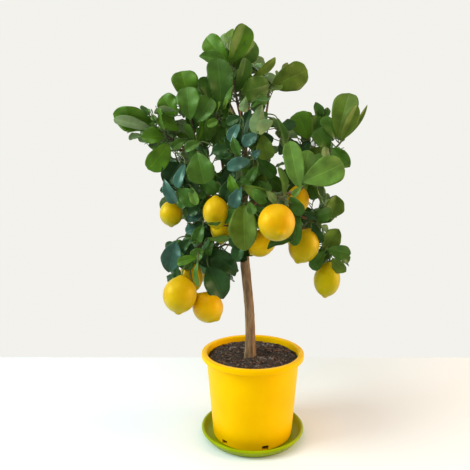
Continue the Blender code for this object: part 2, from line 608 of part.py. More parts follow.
def stalk_of(lemon, path, extra=0.0):
    """The stalk from a stem to a lemon's neck: its path and radii."""
    middle, aim, _, length = FRUIT[lemon]
    aim = Vector(aim).normalized()
    neck = Vector(middle) - aim * length * FRUIT_NECK
    root = min(path[1:], key=lambda spot: (spot - neck).length)
    bend = neck - aim * STALK_BEND * (root - neck).length
    radii = taper(TWIG_RADIUS, STALK_RADIUS, STEM_RINGS)
    return blend_path(root, bend, neck, STEM_RINGS), [radius + extra for radius in radii]


def as_shape(mesh):
    """A mesh as an edit mesh."""
    shape = bmesh.new()
    shape.from_mesh(mesh)
    bpy.data.meshes.remove(mesh)
    return shape


def join_mass(mass, crown, finish):
    """One solid from a mass's stem and all that stands on it."""
    path, radii = crown.stems[mass.name]
    shapes = [as_shape(tube_mesh(*twig, TWIG_SIDES)) for twig in crown.twigs[mass.name]]
    shapes += [leaf_shape(length, frame) for frame, length in crown.leaves[mass.name]]
    for lemon in mass.fruit:
        shapes.append(lemon_shape(lemon))
        shapes.append(as_shape(tube_mesh(*stalk_of(lemon, path), TWIG_SIDES)))
    pieces = bpy.data.collections.new(mass.name + '_pieces')
    bpy.context.scene.collection.children.link(pieces)
    for shape in shapes:
        mesh = bpy.data.meshes.new('piece')
        shape.to_mesh(mesh)
        shape.free()
        pieces.objects.link(bpy.data.objects.new('piece', mesh))
    made = place(mass.name, tube_mesh(path, radii, TWIG_SIDES), finish)
    union = made.modifiers.new('join', 'BOOLEAN')
    union.operation = 'UNION'
    union.operand_type = 'COLLECTION'
    union.collection = pieces
    joined = bpy.data.meshes.new_from_object(made.evaluated_get(bpy.context.evaluated_depsgraph_get()))
    made.modifiers.clear()
    made.data = joined
    joined.name = mass.name
    joined.materials.clear()
    joined.materials.append(finish)
    for piece in list(pieces.objects):
        bpy.data.objects.remove(piece)
    bpy.data.collections.remove(pieces)


def make_masses(limbs):
    """Every mass of foliage, joined into one solid each."""
    crown = grow_crown(limbs)
    green = material('leaf_green', (0.055, 0.14, 0.02), 0.45)
    for mass in MASSES:
        join_mass(mass, crown, green)
    return crown


for leftover in list(bpy.data.objects):
    bpy.data.objects.remove(leftover)
tree = bpy.data.collections.new('potted_lemon_tree')
cutters = bpy.data.collections.new('slot_cutters')
copes = bpy.data.collections.new('copes')
for group in (tree, cutters, copes):
    bpy.context.scene.collection.children.link(group)

all_limbs = limb_paths()
crown = make_masses(all_limbs)
make_trunk(all_limbs['trunk'][0])
make_boughs(all_limbs)
make_saucer()
make_pot()
make_soil()
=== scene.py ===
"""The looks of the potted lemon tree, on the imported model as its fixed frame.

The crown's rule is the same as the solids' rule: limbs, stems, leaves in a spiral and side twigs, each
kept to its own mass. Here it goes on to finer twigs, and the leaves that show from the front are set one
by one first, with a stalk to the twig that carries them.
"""
import json
import math
import random
from collections import namedtuple

import bmesh
import bpy
import numpy as np
from mathutils import Matrix, Vector, noise
from mathutils.bvhtree import BVHTree

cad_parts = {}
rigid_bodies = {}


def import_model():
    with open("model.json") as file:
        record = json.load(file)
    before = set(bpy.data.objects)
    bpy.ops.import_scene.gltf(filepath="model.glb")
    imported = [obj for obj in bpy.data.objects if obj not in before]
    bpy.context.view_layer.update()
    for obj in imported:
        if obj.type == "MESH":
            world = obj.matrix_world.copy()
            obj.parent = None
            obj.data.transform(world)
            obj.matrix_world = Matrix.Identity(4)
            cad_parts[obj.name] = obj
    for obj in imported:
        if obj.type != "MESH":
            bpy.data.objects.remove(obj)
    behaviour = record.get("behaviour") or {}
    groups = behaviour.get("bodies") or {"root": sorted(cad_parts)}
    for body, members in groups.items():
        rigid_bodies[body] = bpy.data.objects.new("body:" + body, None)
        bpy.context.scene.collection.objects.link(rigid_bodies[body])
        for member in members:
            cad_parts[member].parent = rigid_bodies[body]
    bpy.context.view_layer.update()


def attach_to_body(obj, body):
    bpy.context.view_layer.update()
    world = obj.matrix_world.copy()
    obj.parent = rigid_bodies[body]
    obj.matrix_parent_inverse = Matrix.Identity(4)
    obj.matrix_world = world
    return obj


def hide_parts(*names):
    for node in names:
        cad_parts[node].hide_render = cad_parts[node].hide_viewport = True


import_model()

# Camera, in metres and degrees
CAMERA_SPOT = Vector((-0.038, -0.98, 0.545))
CAMERA_PITCH = math.radians(6.4)
CAMERA_LENS = 36.0
PICTURE = 470.0
RIGHT = Vector((1.0, 0.0, 0.0))
UP = Vector((0.0, math.sin(CAMERA_PITCH), math.cos(CAMERA_PITCH)))
FORWARD = Vector((0.0, math.cos(CAMERA_PITCH), -math.sin(CAMERA_PITCH)))

# Clearance between pieces that touch
GAP = 0.0003

# Distance at which points are merged, and steps round a turned surface
MERGE = 0.000001
TURNED_STEPS = 144

# Saucer, by radius and height
SAUCER_RADIUS = 0.111
SAUCER_HEIGHT = 0.019
SAUCER_FLOOR = 0.0028
SAUCER_RIM_ROUND = 0.0031
SAUCER_DISH = ((0.0, SAUCER_FLOOR), (0.0928, SAUCER_FLOOR), (0.0955, 0.0031), (0.0984, 0.0042),
               (0.1008, 0.0062))
SAUCER_FOOT = ((0.1030, 0.0048), (0.0995, 0.0012), (0.0988, 0.0003), (0.098, 0.0), (0.0, 0.0))

# Pot: a tapering wall under a rolled lip, with drain slots round its foot
POT_FLOOR_Z = SAUCER_FLOOR + GAP
POT_TOP_Z = 0.184
POT_FOOT_RADIUS = 0.085
POT_WALL_TOP_RADIUS = 0.1005
POT_LIP_RADIUS = 0.110
POT_LIP_HEIGHT = 0.0115
POT_LIP_ROUND = 0.003
POT_LIP_FILLET = 0.0012
POT_MOUTH_SLOPE = 0.0035
POT_FOOT_ROUND = 0.004
POT_WALL = 0.0028
POT_SHARP = math.radians(50.0)
POT_SLOTS = 6
POT_SLOT_TURN = math.radians(-74.0)
POT_SLOT_SIZE = (0.014, 0.012, 0.0042)
POT_SLOT_ROUND = 0.0012
POT_SLOT_Z = POT_FLOOR_Z + 0.0045
SLOT_LIFT = 0.0030
SLOT_TALL = 2.2

# Soil, with a level patch that the trunk stands on; its surface lies SOIL_HEAP above the solid's
SOIL_Z = 0.168
SOIL_TOP = ((0.0, SOIL_Z), (0.024, SOIL_Z), (0.045, SOIL_Z + 0.0035), (0.072, SOIL_Z + 0.0015))
SOIL_EDGE_DROP = 0.003
SOIL_HEAP = 0.005
SOIL_RINGS = 44
SOIL_STEPS = 120
SOIL_SHARP = math.radians(40.0)
SOIL_CRUMBS = ((0.0022, 130.0), (0.0016, 330.0), (0.0022, 45.0))
CHIPS = 1500
CHIP_CLEAR = 0.019
CHIP_EDGE = 0.97
CHIP_LEAST = 0.0007
CHIP_RANGE = 0.0022
CHIP_POWER = 2.2
CHIP_TILT = 0.6
CHIP_CORNER = (0.6, 1.0)
CHIP_DEAL = (0, 0, 1, 1, 2, 3)
CHIP_SPANS = ((0.7, 2.2), (0.6, 1.1), (0.35, 0.8))
CHIP_CORNERS = ((-1, -1, -1), (1, -1, -1), (1, 1, -1), (-1, 1, -1),
                (-1, -1, 1), (1, -1, 1), (1, 1, 1), (-1, 1, 1))
CHIP_FACES = ((0, 3, 2, 1), (4, 5, 6, 7), (0, 1, 5, 4), (1, 2, 6, 5), (2, 3, 7, 6), (3, 0, 4, 7))

# Trunk, from its flat cut on the soil to its fork
TRUNK_FOOT = Vector((-0.006, 0.0, SOIL_Z + GAP))
TRUNK_FORK = Vector((-0.021, 0.0, 0.521))
TRUNK_RADIUS = 0.0106
TRUNK_FORK_RADIUS = 0.0092
TRUNK_SWAY = 0.003
TRUNK_SWAY_TURNS = (2.2, 1.7)
TRUNK_BEND = 0.006
TRUNK_RINGS = 14
FLARE = 0.0058
FLARE_HEIGHT = 0.018
FLARE_LOBES = 5
FLARE_LOBE_DEPTH = 0.35
FLARE_SKIN = 0.6

# Bark: steps along and round the trunk, boughs and stems, how far its ridges stand out and how close they
# are, coarse and fine, and how a bough swells where it leaves its parent; then the steps of side twigs and
# fruit stalks
RIDGES_ROUND = 2.2
COARSE_RIDGE = 1.7
FINE_RIDGE = 4.1
FINE_RIDGE_SHARE = 0.6
FINE_RIDGE_SHIFT = Vector((7.0, 3.0, 1.0))
TRUNK_STEPS = 240
TRUNK_ROUND = 48
TRUNK_RELIEF = 0.00075
TRUNK_GRAIN = 26.0
BOUGH_STEPS = 44
BOUGH_ROUND = 20
BOUGH_RELIEF = 0.00032
BOUGH_GRAIN = 40.0
FOOT_SWELL = 0.45
FOOT_STEPS = 5.0
STEM_STEPS = 16
STEM_ROUND = 10
STEM_RELIEF = 0.00012
STEM_GRAIN = 60.0
STEM_SINK = 0.003
TUBE_STEPS = 8
TUBE_SIDES = 8

# Boughs: name, what it leaves, how far along that, its tip, radii at foot and tip, and its bend at the
# middle: upwards as a share of its length, and sideways in metres
BOUGHS = (
    ('bough_mid', 'trunk', 0.97, (-0.032, -0.010, 0.700), 0.0058, 0.0030, 0.00, 0.020),
    ('bough_left', 'trunk', 0.93, (-0.155, -0.030, 0.624), 0.0056, 0.0028, 0.10, 0.0),
    ('bough_right', 'trunk', 0.90, (0.148, -0.040, 0.604), 0.0052, 0.0026, 0.04, 0.0),
    ('bough_back', 'trunk', 0.95, (-0.020, 0.100, 0.600), 0.0050, 0.0026, 0.08, 0.0),
    ('bough_centre', 'trunk', 0.94, (-0.018, -0.060, 0.588), 0.0042, 0.0024, 0.10, 0.0),
    ('bough_mid_left', 'trunk', 0.85, (-0.128, -0.052, 0.534), 0.0046, 0.0022, 0.10, 0.0),
    ('bough_low_right', 'trunk', 0.82, (0.106, -0.052, 0.474), 0.0044, 0.0022, 0.16, 0.0),
    ('bough_front_right', 'trunk', 0.87, (0.078, -0.106, 0.530), 0.0044, 0.0024, 0.08, 0.0),
    ('bough_front', 'trunk', 0.80, (0.020, -0.118, 0.520), 0.0042, 0.0024, 0.12, 0.0),
    ('bough_front_left', 'trunk', 0.77, (-0.046, -0.070, 0.512), 0.0038, 0.0022, 0.10, 0.0),
    ('bough_low_left', 'trunk', 0.72, (-0.098, -0.058, 0.426), 0.0044, 0.0022, 0.16, 0.0),
    ('bough_low_inner', 'trunk', 0.655, (-0.054, -0.026, 0.418), 0.0036, 0.0020, 0.14, 0.0),
    ('bough_back_left', 'trunk', 0.89, (-0.130, 0.095, 0.560), 0.0046, 0.0024, 0.08, 0.0),
    ('bough_back_right', 'trunk', 0.86, (0.105, 0.100, 0.560), 0.0046, 0.0024, 0.08, 0.0),
    ('bough_low_back_left', 'trunk', 0.76, (-0.105, 0.085, 0.440), 0.0042, 0.0022, 0.16, 0.0),
    ('bough_low_back_right', 'trunk', 0.79, (0.090, 0.080, 0.474), 0.0042, 0.0022, 0.16, 0.0),
    ('bough_crest', 'bough_left', 0.24, (-0.069, -0.004, 0.655), 0.0040, 0.0024, 0.00, -0.008),
    ('bough_high_right', 'bough_mid', 0.30, (0.030, 0.022, 0.706), 0.0036, 0.0022, 0.00, 0.014),
    ('bough_high_back', 'bough_mid', 0.45, (-0.050, 0.060, 0.715), 0.0036, 0.0022, 0.00, 0.012),
    ('bough_top_right', 'bough_mid', 0.70, (-0.008, 0.002, 0.718), 0.0028, 0.0020, 0.00, 0.006),
    ('bough_upper_left', 'bough_left', 0.62, (-0.120, -0.028, 0.646), 0.0030, 0.0020, 0.00, -0.006),
    ('bough_left_down', 'bough_left', 0.84, (-0.160, -0.056, 0.606), 0.0024, 0.0018, 0.06, 0.0),
    ('bough_left_inner', 'bough_left', 0.40, (-0.083, -0.062, 0.570), 0.0030, 0.0020, 0.10, 0.0),
    ('bough_crest_left', 'bough_crest', 0.60, (-0.098, -0.030, 0.686), 0.0028, 0.0020, 0.04, 0.0),
    ('bough_high_centre', 'bough_mid', 0.50, (-0.024, -0.056, 0.670), 0.0028, 0.0020, 0.06, 0.0),
    ('bough_centre_right', 'bough_right', 0.22, (0.020, -0.052, 0.596), 0.0032, 0.0020, 0.04, 0.0),
    ('bough_right_inner', 'bough_right', 0.62, (0.104, 0.004, 0.616), 0.0030, 0.0020, 0.00, 0.006),
    ('bough_pendant', 'bough_low_right', 0.62, (0.138, -0.056, 0.434), 0.0030, 0.0020, 0.00, 0.0),
)
BOUGH_RINGS = 6
LIMB_SIDES = 6

# Leaves and twigs, as the solids have them
LEAF_WIDTH = 0.58
LEAF_OUTLINE = ((-0.90, 0.38), (-0.88, 0.78), (0.0, 1.0), (0.88, 0.78), (0.90, 0.38))
LEAF_MIDDLE = 0.55
LEAF_THICKNESS = 0.024
LEAF_ROOT = 0.0013
LEAF_ROOT_HALF = 0.0009
LEAF_FOLD = 0.14
LEAF_DROOP = 0.14
TWIG_RADIUS = 0.0017
TWIG_TIP_RADIUS = 0.0012
STEM_RINGS = 3
STEM_SEAT = 0.004
STEM_LEAD = 0.45
STALK_RADIUS = 0.00136
STALK_BEND = 0.3
TWIG_SIDES = 4
SPIRAL = math.radians(137.5)
LEAF_TRIES = ((0.0, 1.0), (0.5, 1.0), (-0.5, 1.0), (1.0, 0.9), (-1.0, 0.9), (1.6, 0.75), (-1.6, 0.75))
REACH = 0.135
CLEARANCE = 0.001
LIGHT_RISE = 0.5
CROWN_MIDDLE = (-0.02, 0.04)
FRONT_BIAS = 0.35
FACING = 0.35
LEAF_ROLL = 30.0
SPREAD_FOOT = 76.0
SPREAD_CLOSING = 30.0
SMALLEST_LEAF = 0.82
LEAF_RANGE = 0.24
FIRST_LEAF = 0.2

# Side twigs: where they leave their stem, how long they are by the mass's leaves, and how they stand
TWIG_FOOT = 0.15
TWIG_STEP = 0.35
TWIG_LENGTH = 0.75
TWIG_RANGE = 0.2
TWIG_SPREAD = math.radians(60.0)
TWIG_RISE = 0.2
TWIG_TURNS = (0.5, 1.1, 1.7, 2.3)
TWIG_RINGS = 2
TWIG_LEAVES = 4
TWIG_FIRST_LEAF = 0.35
MASS_MIDDLE = 0.6

# Masses: each grows from its bough's tip to the end of its own stem, where its last leaf points along aim
Mass = namedtuple('Mass', 'name bough end aim leaves twigs last length turn fruit')
MASSES = tuple(Mass('foliage_' + name, 'bough_' + bough, *rest) for name, bough, *rest in (
    ('top', 'mid', (-0.047, -0.002, 0.796), (0.50, -0.15, 0.88), 11, 1, 0.076, 0.066, 200, ()),
    ('plume', 'crest', (-0.068, -0.012, 0.694), (-0.05, -0.10, 1.0), 7, 1, 0.098, 0.066, 20, ()),
    ('high_leaf', 'high_right', (0.034, 0.018, 0.744), (0.95, -0.05, 0.34), 4, 0, 0.086, 0.050, 320, ()),
    ('top_right', 'top_right', (0.002, -0.004, 0.757), (0.75, -0.3, 0.60), 7, 1, 0.064, 0.060, 150, ()),
    ('upper_left', 'upper_left', (-0.134, -0.038, 0.698), (-0.05, -0.2, 1.0), 10, 1, 0.062, 0.062, 100, ()),
    ('far_left', 'left', (-0.200, -0.040, 0.656), (-0.95, -0.1, 0.34), 9, 1, 0.078, 0.060, 200, ()),
    ('left_down', 'left_down', (-0.178, -0.066, 0.612), (-0.55, -0.2, -0.65), 5, 0, 0.064, 0.055, 60, ()),
    ('left_inner', 'left_inner', (-0.098, -0.080, 0.578), (-0.7, -0.2, 0.45), 7, 1, 0.060, 0.058, 60, ()),
    ('centre', 'centre', (-0.024, -0.098, 0.640), (0.0, -0.2, 1.0), 9, 1, 0.054, 0.052, 30, ()),
    ('centre_right', 'centre_right', (0.026, -0.052, 0.655), (0.5, -0.3, 0.2), 9, 1, 0.060, 0.055, 30, ()),
    ('crest_left', 'crest_left', (-0.102, -0.050, 0.700), (-0.1, -0.2, 1.0), 9, 1, 0.058, 0.060, 160, ()),
    ('high_centre', 'high_centre', (-0.022, -0.082, 0.698), (0.3, -0.3, 0.8), 7, 0, 0.050, 0.050, 200, ()),
    ('right_top', 'right', (0.176, -0.042, 0.632), (0.28, -0.1, 0.95), 8, 0, 0.088, 0.060, 130, ()),
    ('right_inner', 'right_inner', (0.101, 0.010, 0.650), (-0.15, -0.2, 1.0), 10, 1, 0.046, 0.048, 160, ()),
    ('front_right', 'front_right', (0.085, -0.122, 0.540), (0.80, -0.15, 0.53), 2, 0, 0.086, 0.090, 0, (6,)),
    ('low_right', 'low_right', (0.144, -0.062, 0.480), (0.3, -0.1, 0.9), 7, 0, 0.044, 0.050, 10, (8,)),
    ('pendant', 'pendant', (0.152, -0.058, 0.402), (0.9, -0.1, -0.15), 7, 0, 0.048, 0.045, 80, (9,)),
    ('front', 'front', (0.052, -0.130, 0.514), (0.12, 0.05, -1.0), 5, 0, 0.082, 0.052, 330, (4, 5)),
    ('front_left', 'front_left', (-0.018, -0.105, 0.503),
     (-0.06, -0.3, -0.95), 7, 0, 0.083, 0.054, 200, (2, 3)),
    ('mid_left', 'mid_left', (-0.156, -0.060, 0.530), (-0.3, -0.2, -0.8), 9, 1, 0.050, 0.055, 120, (1,)),
    ('low_left', 'low_left', (-0.128, -0.074, 0.400),
     (-0.3, -0.2, -0.9), 10, 0, 0.055, 0.055, 90, (10, 11, 12)),
    ('low_inner', 'low_inner', (-0.070, -0.040, 0.392), (0.1, -0.2, -0.9), 8, 0, 0.070, 0.062, 20, ()),
    ('back', 'back', (-0.018, 0.148, 0.662), (0.1, 0.4, 0.9), 8, 1, 0.068, 0.066, 40, ()),
    ('high_back', 'high_back', (-0.052, 0.108, 0.758), (-0.1, 0.3, 0.9), 8, 1, 0.068, 0.066, 80, ()),
    ('back_left', 'back_left', (-0.175, 0.115, 0.600), (-0.6, 0.4, 0.6), 8, 1, 0.070, 0.066, 10, ()),
    ('back_right', 'back_right', (0.145, 0.120, 0.605), (0.6, 0.4, 0.6), 8, 1, 0.066, 0.062, 60, ()),
    ('low_back_left', 'low_back_left', (-0.135, 0.100, 0.405),
     (-0.5, 0.4, -0.6), 8, 1, 0.064, 0.062, 100, (13,)),
    ('low_back_right', 'low_back_right', (0.120, 0.095, 0.452),
     (0.5, 0.4, -0.4), 8, 1, 0.060, 0.058, 140, (14,)),
))

# Fruit: middle, direction from stalk to tip, width and length
FRUIT = {
    1: ((-0.163, -0.060, 0.484), (0.0, 0.0, -1.0), 0.045, 0.054),
    2: ((-0.073, -0.108, 0.489), (0.05, -0.1, -1.0), 0.049, 0.064),
    3: ((-0.063, -0.066, 0.458), (-0.05, 0.0, -1.0), 0.046, 0.068),
    4: ((0.034, -0.170, 0.476), (0.15, -0.85, -0.45), 0.064, 0.074),
    5: ((0.014, -0.085, 0.430), (-0.7, 0.0, -0.7), 0.050, 0.066),
    6: ((0.083, -0.075, 0.512), (0.05, 0.1, -1.0), 0.043, 0.056),
    8: ((0.096, -0.075, 0.422), (-0.38, -0.1, -0.9), 0.0585, 0.074),
    9: ((0.145, -0.060, 0.352), (-0.12, -0.1, -1.0), 0.052, 0.073),
    10: ((-0.141, -0.120, 0.336), (-0.05, -0.35, -0.9), 0.063, 0.074),
    11: ((-0.126, -0.058, 0.356), (-0.05, 0.1, -1.0), 0.048, 0.068),
    12: ((-0.090, -0.100, 0.307), (0.55, -0.15, -0.62), 0.058, 0.066),
    13: ((-0.118, 0.110, 0.345), (0.1, 0.2, -1.0), 0.056, 0.070),
    14: ((0.112, 0.110, 0.410), (-0.1, 0.2, -1.0), 0.054, 0.068),
}
FRUIT_SIDES = 8
FRUIT_RINGS = 7
FRUIT_SHOULDER = 0.6
FRUIT_PINCH = 0.16
FRUIT_POINT = 1.1
FRUIT_NECK = 0.42

# Fine lemon: its grid, its body's share of its length, the edge, reach and width of the domes at its tip and
# neck, and the green star at its stalk
LEMON_RINGS = 30
LEMON_SIDES = 36
LEMON_BODY = 0.455
LEMON_TIP = (0.40, 0.10, 0.13)
LEMON_NECK = (0.38, 0.12, 0.17)
CALYX_STEPS = 10
CALYX_RADII = (0.0044, 0.0028)
CALYX_SEAT = 0.497
CALYX_RISE = 0.0022
CALYX_SINK = 0.0006
CALYX_SAG = 0.0008
